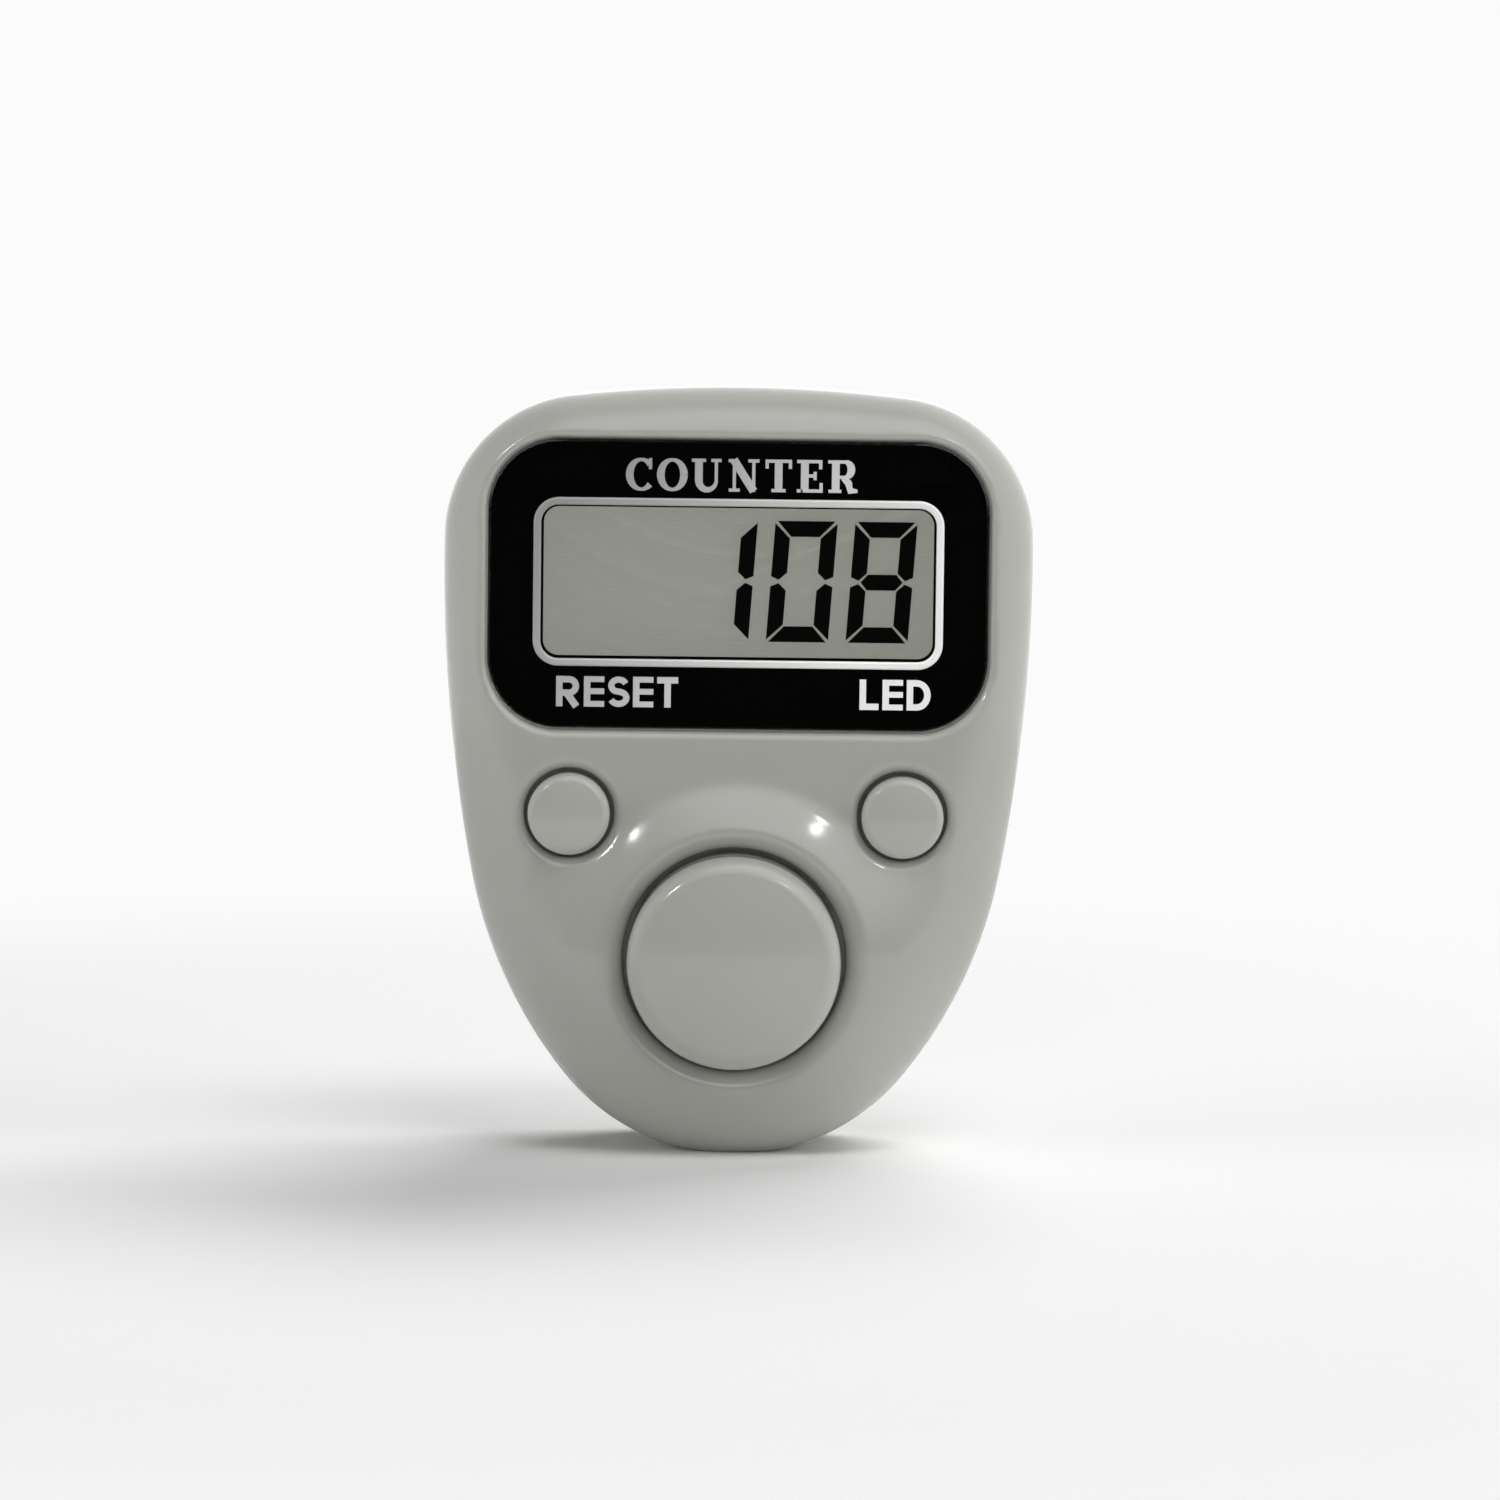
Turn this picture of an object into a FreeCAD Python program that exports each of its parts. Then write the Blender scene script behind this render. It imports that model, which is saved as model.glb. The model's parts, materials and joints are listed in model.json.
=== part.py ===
import FreeCAD, Part
import os
from math import cos, hypot, radians, sin, sqrt

# Electronic hand tally counter standing on its rounded end.
# X runs to the right, Y towards the back, Z up; the front face looks along -Y. Millimetres.
V = FreeCAD.Vector

# Case outline: tangent arcs up one side as (radius, heading at the end of the arc in degrees).
SIDE_ARCS = ((10.83, 50.7), (22.63, 78.9), (80.5, 90.9), (7.1, 173.3))
FOOT_CUT = 0.25  # how much of the lowest arc the flat foot takes off
WALL = 1.4
FACE_Y = -5.7
REAR_Y = 5.3
PARTING_Y = 0.6
CEILING_Y = FACE_Y + WALL
REAR_CEILING_Y = REAR_Y - WALL
FRONT_ROUND = 3.0
REAR_ROUND = 3.2
SEAM_CHAMFER = 0.12
TONGUE_INSET = 0.75
TONGUE_DEPTH = 0.6
TONGUE_GAP = 0.05

ROOT = 0.2  # how deep a rib or post is sunk into the wall that it grows from

# Count button in its raised collar.
MAIN_Z = 9.8
MAIN_HOLE_R = 5.5
COLLAR_TOP_Y = -6.65
COLLAR_CREST_R = 6.3
COLLAR_ARC_R = 2.4
COLLAR_CREASE_R = 0.8
COLLAR_LIP_R = 0.75
MAIN_HOLLOW_R = 4.1
MAIN_ROOF = 1.3

# The two small buttons, mirrored about the centre line.
SMALL_X = 8.2
SMALL_Z = 16.92
SMALL_HOLE_R = 2.22
DISH_R = 2.9
DISH_DEPTH = 0.38

# Buttons: cap, how much its face swells, the rounding of its edge, retaining flange and stem.
MAIN_BUTTON = dict(cap_r=5.25, top_y=-8.7, crown=0.3, edge_r=0.9, flange_r=6.1, flange_t=0.8, stem_r=1.6)
SMALL_BUTTON = dict(cap_r=2.02, top_y=-6.6, crown=0.12, edge_r=0.45, flange_r=2.8, flange_t=0.7, stem_r=1.0)
FLANGE_FRONT_Y = CEILING_Y + 0.05
STEM_END_Y = -3.05

# Silicone domes under the stems, each with a conductive pill on its underside.
MAIN_DOME = dict(base_r=3.0, top_r=1.9)
SMALL_DOME = dict(base_r=2.2, top_r=1.3)
MAIN_PILL_R = 1.4
SMALL_PILL_R = 0.85
DOME_ROOF = 0.6
DOME_SKIN = 0.35
DOME_RIM_T = 0.25
DOME_RIM_REACH = 0.3
DOME_WAIST = 0.75
PILL_END_Y = -1.8

# Display window, its mask, trim and the liquid-crystal cell behind it.
WINDOW_Z = 28.2
WINDOW_W, WINDOW_H, WINDOW_CORNER = 24.6, 14.2, 3.5
WINDOW_GAP = 0.1
WINDOW_FRONT_Y = -5.15
WINDOW_BEVEL = 0.12
MASK_FRONT_Y = -4.45
LEDGE_FRONT_Y = -4.35
LEDGE_BACK_Y = -3.45
RIM_ROUND = 0.45
RIB_BELOW_WINDOW = 0.9
LCD_Z = 28.3
TRIM_W, TRIM_H, TRIM_CORNER = 20.16, 8.3, 1.25
TRIM_BAND = 0.38
TRIM_RISE = 0.15
TRIM_ROUND = 0.1
MASK_SHOWS = 0.1  # the black border left inside the trim
APERTURE_W, APERTURE_H, APERTURE_CORNER = 19.7, 8.0, 1.0
GLASS_T = 0.55
FILM_T = 0.2
GLASS_HALF_W = 11.3
GLASS_TOP_Z = 32.7
FRONT_GLASS_LOW_Z = 21.9
REAR_GLASS_LOW_Z = 23.6
FILM_HALF_W = 10.6
FILM_LOW_Z, FILM_TOP_Z = 24.0, 32.5
GUIDE_HALF_W = 9.9
GUIDE_LOW_Z = 24.1
GUIDE_CHAMFER = 0.3
STRIP_HALF_W = 10.8
STRIP_LOW_Z, STRIP_TOP_Z = 22.1, 23.5

# Circuit board and what it carries.
BOARD_FRONT_Y = -0.95
BOARD_BACK_Y = 0.05
BOARD_INSET = 1.9
BOARD_TOP_Z = 33.6
BLOB_Z = 8.6
BLOB_R = 3.0
BLOB_RISE = 0.95
LED_SIDE, LED_GAP = 0.8, 0.1
CHIP_Z = 4.2
RESISTOR_L, RESISTOR_W, RESISTOR_T = 1.0, 0.5, 0.35
RESISTOR_FIRST_X, RESISTOR_PITCH, RESISTOR_COUNT = 0.4, 1.5, 3
CAPACITOR_X = -1.8
CAPACITOR_L, CAPACITOR_W, CAPACITOR_T, CAPACITOR_ROUND = 1.6, 0.8, 0.8, 0.08

# Screws, bosses and board posts.
SCREW_SPOTS = ((10.2, 34.6), (8.0, 8.5))
BOSS_R = 1.6
BOSS_CLEARANCE = 0.3
SHANK_R = 0.8
THREAD_FIT = 0.02  # the shank's clearance in its boss
SHANK_CLEARANCE = 0.15
HEAD_R = 1.5
HEAD_T = 0.8
HEAD_CLEARANCE = 0.1
SEAT_Y = 3.5
SHANK_END_Y = -2.3
SCREW_EDGE = 0.3
CROSS_HALF_L, CROSS_HALF_W, CROSS_DEPTH = 0.85, 0.2, 0.5
POST_SPOTS = ((11.2, 20.1), (5.6, 4.7))
POST_R = 0.8

# Coin cell (12.5 x 2.0), its pod in the rear case, contacts and twist cover.
CELL_Z = 21.0
CELL_R = 6.25
CELL_FRONT_Y = 1.5
CELL_BACK_Y = 3.5
CAN_T = 0.25
CAP_R, CAP_FACE_R, CAP_STEP = 5.4, 4.9, 0.3
SEAL_FIT = 0.02
POD_R = 8.9
POD_FLOOR_FRONT_Y = 0.85
POD_FLOOR_BACK_Y = 1.4
POCKET_R = 6.45
GROOVE_R = 7.9
GROOVE_FRONT_Y = 3.0
LIP_FRONT_Y = 3.7
LIP_BACK_Y = 4.25
LIP_R = 7.1
COVER_SEAT_R = 8.15
COVER_R = 8.0
COVER_NECK_R = 7.0
COVER_FRONT_Y = 4.45
COVER_BACK_Y = 5.2
COVER_EDGE = 0.2
COIN_SLOT_HALF_L, COIN_SLOT_HALF_W, COIN_SLOT_DEPTH, COIN_SLOT_ROUND = 4.6, 0.75, 0.7, 0.6
POINTER_R, POINTER_AT, POINTER_DEPTH = 0.5, 6.9, 0.15
TAB_R = 7.75
TAB_COUNT = 3
TAB_HALF_ANGLE = 11.0
UNLOCK_ANGLE = 60.0
MARK_R, MARK_AT, MARK_DEPTH = 0.35, 9.1, 0.2

# Battery contacts, bent from thin strip.
LEAF_T = 0.2
LEAF_W = 1.4
LEAF_RELIEF_R = 2.6
SIDE_CONTACT_HALF_W, SIDE_CONTACT_FOOT = 1.2, 1.0
SIDE_WINDOW_X0, SIDE_WINDOW_X1, SIDE_WINDOW_HALF_W = 5.9, 7.4, 1.4

# Strap lugs on the back.
LUG_X = 9.6
LUG_W = 1.8
LUG_LOW_Z, LUG_TOP_Z = 15.6, 26.4
LUG_LEG = 1.4
LUG_SLOT = 2.3
LUG_TOP_Y = 8.7
LUG_SHOULDER_R, LUG_SLOT_R, LUG_EDGE_R = 1.1, 0.5, 0.35

REACH = 60.0  # larger than the whole counter, for cutting tools


def segment(a, b):
    return Part.LineSegment(a, b).toShape()


def arc(a, b, c):
    return Part.Arc(a, b, c).toShape()


def box(x0, x1, y0, y1, z0, z1):
    return Part.makeBox(x1 - x0, y1 - y0, z1 - z0, V(x0, y0, z0))


def disc(r, y0, y1, x, z):
    """A cylinder whose axis runs front to back."""
    return Part.makeCylinder(r, y1 - y0, V(x, y0, z), V(0, 1, 0))


def turned(edges, x, z):
    """Turn a closed profile of edges, drawn as (radius, y), about the front-to-back axis at x, z."""
    solid = Part.Face(Part.Wire(edges)).revolve(V(0, 0, 0), V(0, 1, 0), 360)
    solid.translate(V(x, 0, z))
    return solid


def turned_polygon(points, x, z):
    corners = [V(r, y, 0) for r, y in points]
    return turned([segment(a, b) for a, b in zip(corners, corners[1:] + corners[:1])], x, z)


def outline(inset):
    """The egg-shaped wire, a constant distance inside the outer skin, in the plane y = 0."""
    x, z, start = 0.0, inset - FOOT_CUT, 0.0
    side = []
    for radius, end in SIDE_ARCS:
        r = radius - inset
        cx, cz = x - r * sin(radians(start)), z + r * cos(radians(start))
        on_arc = [
            V(cx + r * sin(radians(h)), 0, cz - r * cos(radians(h)))
            for h in (start, (start + end) / 2, end)
        ]
        side.append(on_arc)
        x, z, start = on_arc[-1].x, on_arc[-1].z, end
    # The crown arc is centred on the middle line, so its radius follows from where the corner ends.
    r = x / sin(radians(start))
    cz = z + r * cos(radians(start))
    half = radians((start + 180.0) / 2)
    side.append([V(x, 0, z), V(r * sin(half), 0, cz - r * cos(half)), V(0, 0, cz + r)])
    edges = [arc(*points) for points in side]
    for a, b, c in reversed(side):
        edges.append(arc(V(-c.x, 0, c.z), V(-b.x, 0, b.z), V(-a.x, 0, a.z)))
    return Part.Wire(edges)


def slab(inset, y0, y1):
    solid = Part.Face(outline(inset)).extrude(V(0, y1 - y0, 0))
    solid.translate(V(0, y0, 0))
    return solid


def rounded_plate(width, height, corner, y0, y1, z_mid):
    """A plate with rounded corners, centred on the middle line."""
    x, z = width / 2, height / 2
    k = corner * (1 - sqrt(0.5))
    edges = []
    for sx, sz in ((1, -1), (1, 1), (-1, 1), (-1, -1)):
        on_side = V(sx * x, y0, z_mid + sz * (z - corner))
        middle = V(sx * (x - k), y0, z_mid + sz * (z - k))
        on_end = V(sx * (x - corner), y0, z_mid + sz * z)
        edges.append(arc(on_side, middle, on_end) if sx == sz else arc(on_end, middle, on_side))
    ends = [(e.valueAt(e.FirstParameter), e.valueAt(e.LastParameter)) for e in edges]
    sides = [segment(ends[i][1], ends[(i + 1) % 4][0]) for i in range(4)]
    wire = Part.Wire([edge for pair in zip(edges, sides) for edge in pair])
    return Part.Face(wire).extrude(V(0, y1 - y0, 0))


def both_sides(shape):
    return [shape, shape.mirror(V(0, 0, 0), V(1, 0, 0))]


def mirrored_half(shape):
    """The left half of a shape joined to its own mirror image, so both sides match exactly."""
    left, right = both_sides(shape.cut(box(0, REACH, -REACH, REACH, -REACH, REACH)))
    return left.fuse(right)


def clear_of_foot(shape):
    return shape.cut(box(-REACH, REACH, -REACH, REACH, -REACH, 0))


def edges_in_plane(shape, y):
    return [e for e in shape.Edges if abs(e.BoundBox.YMin - y) < 1e-4 and e.BoundBox.YLength < 1e-4]


def seam_chamfered(shape):
    return shape.makeChamfer(SEAM_CHAMFER, edges_in_plane(shape, PARTING_Y))


# ---------------------------------------------------------------- front case


def collar():
    """The raised ring round the count button, flat on top and falling away in a quarter round."""
    low = COLLAR_TOP_Y + COLLAR_ARC_R
    outer = COLLAR_CREST_R + COLLAR_ARC_R
    k = COLLAR_ARC_R * sqrt(0.5)
    crest = V(COLLAR_CREST_R, COLLAR_TOP_Y, 0)
    edges = [
        segment(V(0, low + 1, 0), V(outer, low + 1, 0)),
        segment(V(outer, low + 1, 0), V(outer, low, 0)),
        arc(V(outer, low, 0), V(COLLAR_CREST_R + k, low - k, 0), crest),
        segment(crest, V(0, COLLAR_TOP_Y, 0)),
        segment(V(0, COLLAR_TOP_Y, 0), V(0, low + 1, 0)),
    ]
    return turned(edges, 0, MAIN_Z)


def collar_crease(shape):
    """The edges where the collar's flank meets the face and the rounded case edge."""
    found = []
    for edge in shape.Edges:
        if edge.BoundBox.YMax > FACE_Y + 1.4:
            continue
        radii = [hypot(p.x, p.z - MAIN_Z) for p in edge.discretize(9)]
        if min(radii) > COLLAR_CREST_R + 1.3 and max(radii) < COLLAR_CREST_R + 2.45:
            found.append(edge)
    return found


def window_rim(shape):
    """The front edges of the pocket that takes the display window."""
    half_w = WINDOW_W / 2 + WINDOW_GAP
    low, high = WINDOW_Z - WINDOW_H / 2 - 0.2, WINDOW_Z + WINDOW_H / 2 + 0.2
    found = []
    for edge in shape.Edges:
        b = edge.BoundBox
        in_height = b.ZMin > low and b.ZMax < high
        in_width = b.XMin > -half_w and b.XMax < half_w
        if b.YMax < FACE_Y + 0.5 and in_height and in_width:
            found.append(edge)
    return found


def window_pocket(y0):
    """The recess for the window, from y0 down to the ledge that the window rests on."""
    width, height = WINDOW_W + 2 * WINDOW_GAP, WINDOW_H + 2 * WINDOW_GAP
    return rounded_plate(width, height, WINDOW_CORNER + WINDOW_GAP, y0, LEDGE_FRONT_Y, WINDOW_Z)


def dish_cutter(x):
    """Hole for a small button, opening into a shallow dish."""
    bend = V((DISH_R + SMALL_HOLE_R) / 2 + 0.05, FACE_Y + DISH_DEPTH * 0.24, 0)
    rim = V(DISH_R, FACE_Y, 0)
    throat = V(SMALL_HOLE_R, FACE_Y + DISH_DEPTH, 0)
    edges = [
        segment(V(0, FACE_Y - 1, 0), V(DISH_R, FACE_Y - 1, 0)),
        segment(V(DISH_R, FACE_Y - 1, 0), rim),
        arc(rim, bend, throat),
        segment(throat, V(SMALL_HOLE_R, CEILING_Y + 1, 0)),
        segment(V(SMALL_HOLE_R, CEILING_Y + 1, 0), V(0, CEILING_Y + 1, 0)),
        segment(V(0, CEILING_Y + 1, 0), V(0, FACE_Y - 1, 0)),
    ]
    return turned(edges, x, SMALL_Z)


def front_skin():
    """The outside of the front half, still solid, with pocket, dishes and button holes."""
    body = slab(0, FACE_Y, PARTING_Y)
    body = body.makeFillet(FRONT_ROUND, edges_in_plane(body, FACE_Y))
    body = seam_chamfered(clear_of_foot(body))
    body = body.fuse(collar())
    body = body.makeFillet(COLLAR_CREASE_R, collar_crease(body))
    body = body.cut(window_pocket(FACE_Y - 1))
    body = body.makeFillet(RIM_ROUND, window_rim(body))
    for x in (-SMALL_X, SMALL_X):
        body = body.cut(dish_cutter(x))
    body = body.cut(disc(MAIN_HOLE_R, COLLAR_TOP_Y - 1, 0, 0, MAIN_Z))
    on_crest = edges_in_plane(body, COLLAR_TOP_Y)
    lip = [e for e in on_crest if abs(e.BoundBox.XLength - 2 * MAIN_HOLE_R) < 0.05]
    return mirrored_half(body.makeFillet(COLLAR_LIP_R, lip))


def front_ribs():
    """The frame behind the window, the screw bosses and the board posts; and the screw holes."""
    root_y = CEILING_Y - ROOT
    frame_low = WINDOW_Z - WINDOW_H / 2 - RIB_BELOW_WINDOW
    ribs = box(-REACH, REACH, root_y, LEDGE_BACK_Y, frame_low, REACH)
    holes = []
    for x, z in SCREW_SPOTS:
        ribs = ribs.fuse(both_sides(disc(BOSS_R, root_y, PARTING_Y, x, z)))
        holes += both_sides(disc(SHANK_R + THREAD_FIT, SHANK_END_Y - SCREW_EDGE, PARTING_Y, x, z))
    for x, z in POST_SPOTS:
        ribs = ribs.fuse(both_sides(disc(POST_R, root_y, BOARD_FRONT_Y - THREAD_FIT, x, z)))
    return ribs.common(slab(WALL - ROOT, root_y, PARTING_Y)), holes


def front_case():
    cavity = slab(WALL, CEILING_Y, PARTING_Y)
    rabbet = slab(TONGUE_INSET - TONGUE_GAP, PARTING_Y - TONGUE_DEPTH - TONGUE_GAP, PARTING_Y)
    aperture = rounded_plate(
        APERTURE_W, APERTURE_H, APERTURE_CORNER, LEDGE_FRONT_Y - 1, LEDGE_BACK_Y + 1, LCD_Z
    )
    ribs, holes = front_ribs()
    shell = front_skin().cut(cavity.fuse(rabbet))
    return shell.fuse(ribs.cut(window_pocket(FACE_Y))).cut([aperture] + holes).removeSplitter()


# ---------------------------------------------------------------- rear case


def strap_lug():
    """One bridge of the pair that a finger strap threads under."""
    bridge = box(LUG_X, LUG_X + LUG_W, REAR_CEILING_Y + ROOT, LUG_TOP_Y, LUG_LOW_Z, LUG_TOP_Z)
    corners = [e for e in bridge.Edges if e.BoundBox.XLength > LUG_W - 0.01 and e.BoundBox.YMin > REAR_Y]
    bridge = bridge.makeFillet(LUG_SHOULDER_R, corners)
    slot_low, slot_top = LUG_LOW_Z + LUG_LEG, LUG_TOP_Z - LUG_LEG
    slot = box(LUG_X - 1, LUG_X + LUG_W + 1, REAR_Y - 0.9, REAR_Y + LUG_SLOT, slot_low, slot_top)
    slot_corners = [e for e in slot.Edges if e.BoundBox.XLength > LUG_W and e.BoundBox.YMin > REAR_Y]
    bridge = bridge.cut(slot.makeFillet(LUG_SLOT_R, slot_corners))
    top = [e for e in bridge.Edges if e.BoundBox.YMin > LUG_TOP_Y - 1e-4]
    return bridge.makeFillet(LUG_EDGE_R, top)


def sector(r, y0, y1, middle):
    """A slice of a disc about the cell's axis; middle is its angle from straight up."""
    wedge = Part.makeCylinder(r, y1 - y0, V(0, y0, CELL_Z), V(0, 1, 0), 2 * TAB_HALF_ANGLE)
    probe = wedge.CenterOfMass - V(0, 0, CELL_Z)
    heading = FreeCAD.Rotation(V(0, 0, 1), V(probe.x, 0, probe.z))
    turn = FreeCAD.Rotation(V(0, 1, 0), middle).multiply(heading.inverted())
    about_cell = FreeCAD.Placement(V(0, 0, 0), turn, V(0, 0, CELL_Z))
    wedge.Placement = about_cell.multiply(wedge.Placement)
    return wedge


def tab_angles(offset):
    return [offset + i * 360.0 / TAB_COUNT for i in range(TAB_COUNT)]


def rear_skin():
    body = slab(0, PARTING_Y, REAR_Y)
    body = body.makeFillet(REAR_ROUND, edges_in_plane(body, REAR_Y))
    body = seam_chamfered(clear_of_foot(body))
    return body.cut(slab(WALL, PARTING_Y, REAR_CEILING_Y))


def seam_tongue():
    """The rim that slips inside the front case, with gaps where the bosses pass."""
    y0, y1 = PARTING_Y - TONGUE_DEPTH, PARTING_Y + 2 * ROOT
    tongue = slab(TONGUE_INSET, y0, y1).cut(slab(WALL, y0, y1))
    for x, z in SCREW_SPOTS:
        tongue = tongue.cut(both_sides(disc(BOSS_R + HEAD_CLEARANCE, PARTING_Y - 1, PARTING_Y, x, z)))
    return tongue


def screw_posts():
    root_y = REAR_CEILING_Y + ROOT
    inside = slab(WALL - ROOT, PARTING_Y, root_y)
    posts = []
    for x, z in SCREW_SPOTS:
        posts += both_sides(disc(BOSS_R + BOSS_CLEARANCE, PARTING_Y, root_y, x, z).common(inside))
    return posts


def screw_holes():
    holes = []
    for x, z in SCREW_SPOTS:
        holes += both_sides(disc(SHANK_R + SHANK_CLEARANCE, PARTING_Y - 1, REAR_Y, x, z))
        holes += both_sides(disc(HEAD_R + HEAD_CLEARANCE, SEAT_Y, REAR_Y + 1, x, z))
    return holes


def cell_bay():
    """Everything cut from the pod: the cell's pocket, the contacts' windows and the cover's bayonet."""
    half = SIDE_WINDOW_HALF_W
    into_groove = GROOVE_FRONT_Y + 0.1
    cuts = [
        disc(GROOVE_R, BOARD_BACK_Y, POD_FLOOR_FRONT_Y, 0, CELL_Z),
        disc(LEAF_RELIEF_R, BOARD_BACK_Y, POD_FLOOR_BACK_Y + 0.1, 0, CELL_Z),
        disc(POCKET_R, POD_FLOOR_BACK_Y, into_groove, 0, CELL_Z),
        disc(GROOVE_R, GROOVE_FRONT_Y, LIP_FRONT_Y, 0, CELL_Z),
        disc(LIP_R, LIP_FRONT_Y - 0.1, LIP_BACK_Y + 0.1, 0, CELL_Z),
        disc(COVER_SEAT_R, LIP_BACK_Y, REAR_Y + 1, 0, CELL_Z),
        box(SIDE_WINDOW_X0, SIDE_WINDOW_X1, BOARD_BACK_Y, into_groove, CELL_Z - half, CELL_Z + half),
    ]
    entries = [sector(GROOVE_R, LIP_FRONT_Y - 0.1, LIP_BACK_Y + 0.1, a) for a in tab_angles(UNLOCK_ANGLE)]
    return cuts + entries


def turn_marks():
    """Two round marks beside the cover: closed at the top, open a sixth of a turn away."""
    marks = []
    for angle in (0.0, UNLOCK_ANGLE):
        x, z = MARK_AT * sin(radians(angle)), CELL_Z + MARK_AT * cos(radians(angle))
        marks.append(disc(MARK_R, REAR_Y - MARK_DEPTH, REAR_Y + 1, x, z))
    return marks


def rear_case():
    pod = disc(POD_R, BOARD_BACK_Y + 0.05, REAR_CEILING_Y + ROOT, 0, CELL_Z)
    added = [pod] + screw_posts() + [seam_tongue()] + both_sides(strap_lug())
    return rear_skin().fuse(added).cut(screw_holes() + cell_bay() + turn_marks()).removeSplitter()


# ---------------------------------------------------------------- buttons


def button(x, z, cap_r, top_y, crown, edge_r, flange_r, flange_t, stem_r):
    """A push button: crowned cap, retaining flange under the case, stem down to its dome."""
    back = FLANGE_FRONT_Y + flange_t
    shoulder = V(cap_r, top_y + crown + edge_r, 0)
    k = edge_r * (1 - sqrt(0.5))
    crest = V(cap_r - edge_r, top_y + crown, 0)
    points = [
        shoulder,
        V(cap_r, FLANGE_FRONT_Y, 0),
        V(flange_r, FLANGE_FRONT_Y, 0),
        V(flange_r, back, 0),
        V(stem_r, back, 0),
        V(stem_r, STEM_END_Y, 0),
        V(0, STEM_END_Y, 0),
        V(0, top_y, 0),
    ]
    edges = [segment(a, b) for a, b in zip(points, points[1:])]
    edges.append(arc(V(0, top_y, 0), V(crest.x / 2, top_y + crown / 4, 0), crest))
    edges.append(arc(crest, V(cap_r - k, top_y + crown + k, 0), shoulder))
    return turned(edges, x, z)


def main_button():
    """The count button, cored out round its stem."""
    stem = disc(MAIN_BUTTON["stem_r"], MAIN_BUTTON["top_y"], 0, 0, MAIN_Z)
    core = disc(MAIN_HOLLOW_R, MAIN_BUTTON["top_y"] + MAIN_ROOF, 0, 0, MAIN_Z).cut(stem)
    return button(0, MAIN_Z, **MAIN_BUTTON).cut(core)


def small_button(x):
    return button(x, SMALL_Z, **SMALL_BUTTON)


def dome(x, z, base_r, top_r):
    """A thin silicone spring: flat rim on the board, cone, thick roof under the stem."""
    foot, top = BOARD_FRONT_Y, STEM_END_Y
    waist = top + DOME_WAIST
    points = [
        (0, top),
        (top_r, top),
        (top_r, waist),
        (base_r - DOME_RIM_REACH, foot - DOME_RIM_T),
        (base_r + DOME_RIM_REACH, foot - DOME_RIM_T),
        (base_r + DOME_RIM_REACH, foot),
        (base_r - DOME_RIM_REACH - DOME_SKIN, foot),
        (top_r - DOME_SKIN, waist + DOME_SKIN / 3),
        (top_r - DOME_SKIN, top + DOME_ROOF),
        (0, top + DOME_ROOF),
    ]
    return turned_polygon(points, x, z)


def pill(r, x, z):
    return disc(r, STEM_END_Y + DOME_ROOF, PILL_END_Y, x, z)


# ---------------------------------------------------------------- display


def display_window():
    plate = rounded_plate(WINDOW_W, WINDOW_H, WINDOW_CORNER, WINDOW_FRONT_Y, MASK_FRONT_Y, WINDOW_Z)
    return plate.makeChamfer(WINDOW_BEVEL, edges_in_plane(plate, WINDOW_FRONT_Y))


def trim_plate(inset, y0, y1):
    """The trim's outline, or one inside it, as a plate."""
    width, height = TRIM_W - 2 * inset, TRIM_H - 2 * inset
    return rounded_plate(width, height, TRIM_CORNER - inset, y0, y1, LCD_Z)


def window_mask():
    sheet = rounded_plate(WINDOW_W, WINDOW_H, WINDOW_CORNER, MASK_FRONT_Y, LEDGE_FRONT_Y, WINDOW_Z)
    return sheet.cut(trim_plate(TRIM_BAND + MASK_SHOWS, MASK_FRONT_Y - 1, LEDGE_FRONT_Y + 1))


def display_trim():
    y0, y1 = WINDOW_FRONT_Y - TRIM_RISE, WINDOW_FRONT_Y
    ring = trim_plate(0, y0, y1).cut(trim_plate(TRIM_BAND, y0 - 1, y1 + 1))
    return ring.makeFillet(TRIM_ROUND, edges_in_plane(ring, y0))


def lcd_stack():
    """The films, glasses and light guide, front to back, each resting on the one before."""
    y = LEDGE_BACK_Y
    parts = {"lcd_front_polarizer": box(-FILM_HALF_W, FILM_HALF_W, y, y + FILM_T, FILM_LOW_Z, FILM_TOP_Z)}
    y += FILM_T
    front = box(-GLASS_HALF_W, GLASS_HALF_W, y, y + GLASS_T, FRONT_GLASS_LOW_Z, GLASS_TOP_Z)
    y += GLASS_T
    strip = box(-STRIP_HALF_W, STRIP_HALF_W, y, BOARD_FRONT_Y, STRIP_LOW_Z, STRIP_TOP_Z)
    rear = box(-GLASS_HALF_W, GLASS_HALF_W, y, y + GLASS_T, REAR_GLASS_LOW_Z, GLASS_TOP_Z)
    y += GLASS_T
    film = box(-FILM_HALF_W, FILM_HALF_W, y, y + FILM_T, FILM_LOW_Z, FILM_TOP_Z)
    y += FILM_T
    guide = box(-GUIDE_HALF_W, GUIDE_HALF_W, y, BOARD_FRONT_Y, GUIDE_LOW_Z, GLASS_TOP_Z)
    guide = guide.makeChamfer(GUIDE_CHAMFER, edges_in_plane(guide, BOARD_FRONT_Y))
    parts.update(
        lcd_front_glass=front,
        zebra_strip=strip,
        lcd_rear_glass=rear,
        lcd_transflector=film,
        light_guide=guide,
    )
    return parts


# ---------------------------------------------------------------- electronics


def circuit_board():
    board = slab(BOARD_INSET, BOARD_FRONT_Y, BOARD_BACK_Y)
    board = board.cut(box(-REACH, REACH, -REACH, REACH, BOARD_TOP_Z, REACH))
    for x, z in SCREW_SPOTS:
        notch = disc(BOSS_R + BOSS_CLEARANCE, BOARD_FRONT_Y - 1, BOARD_BACK_Y + 1, x, z)
        board = board.cut(both_sides(notch))
    return board


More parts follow.
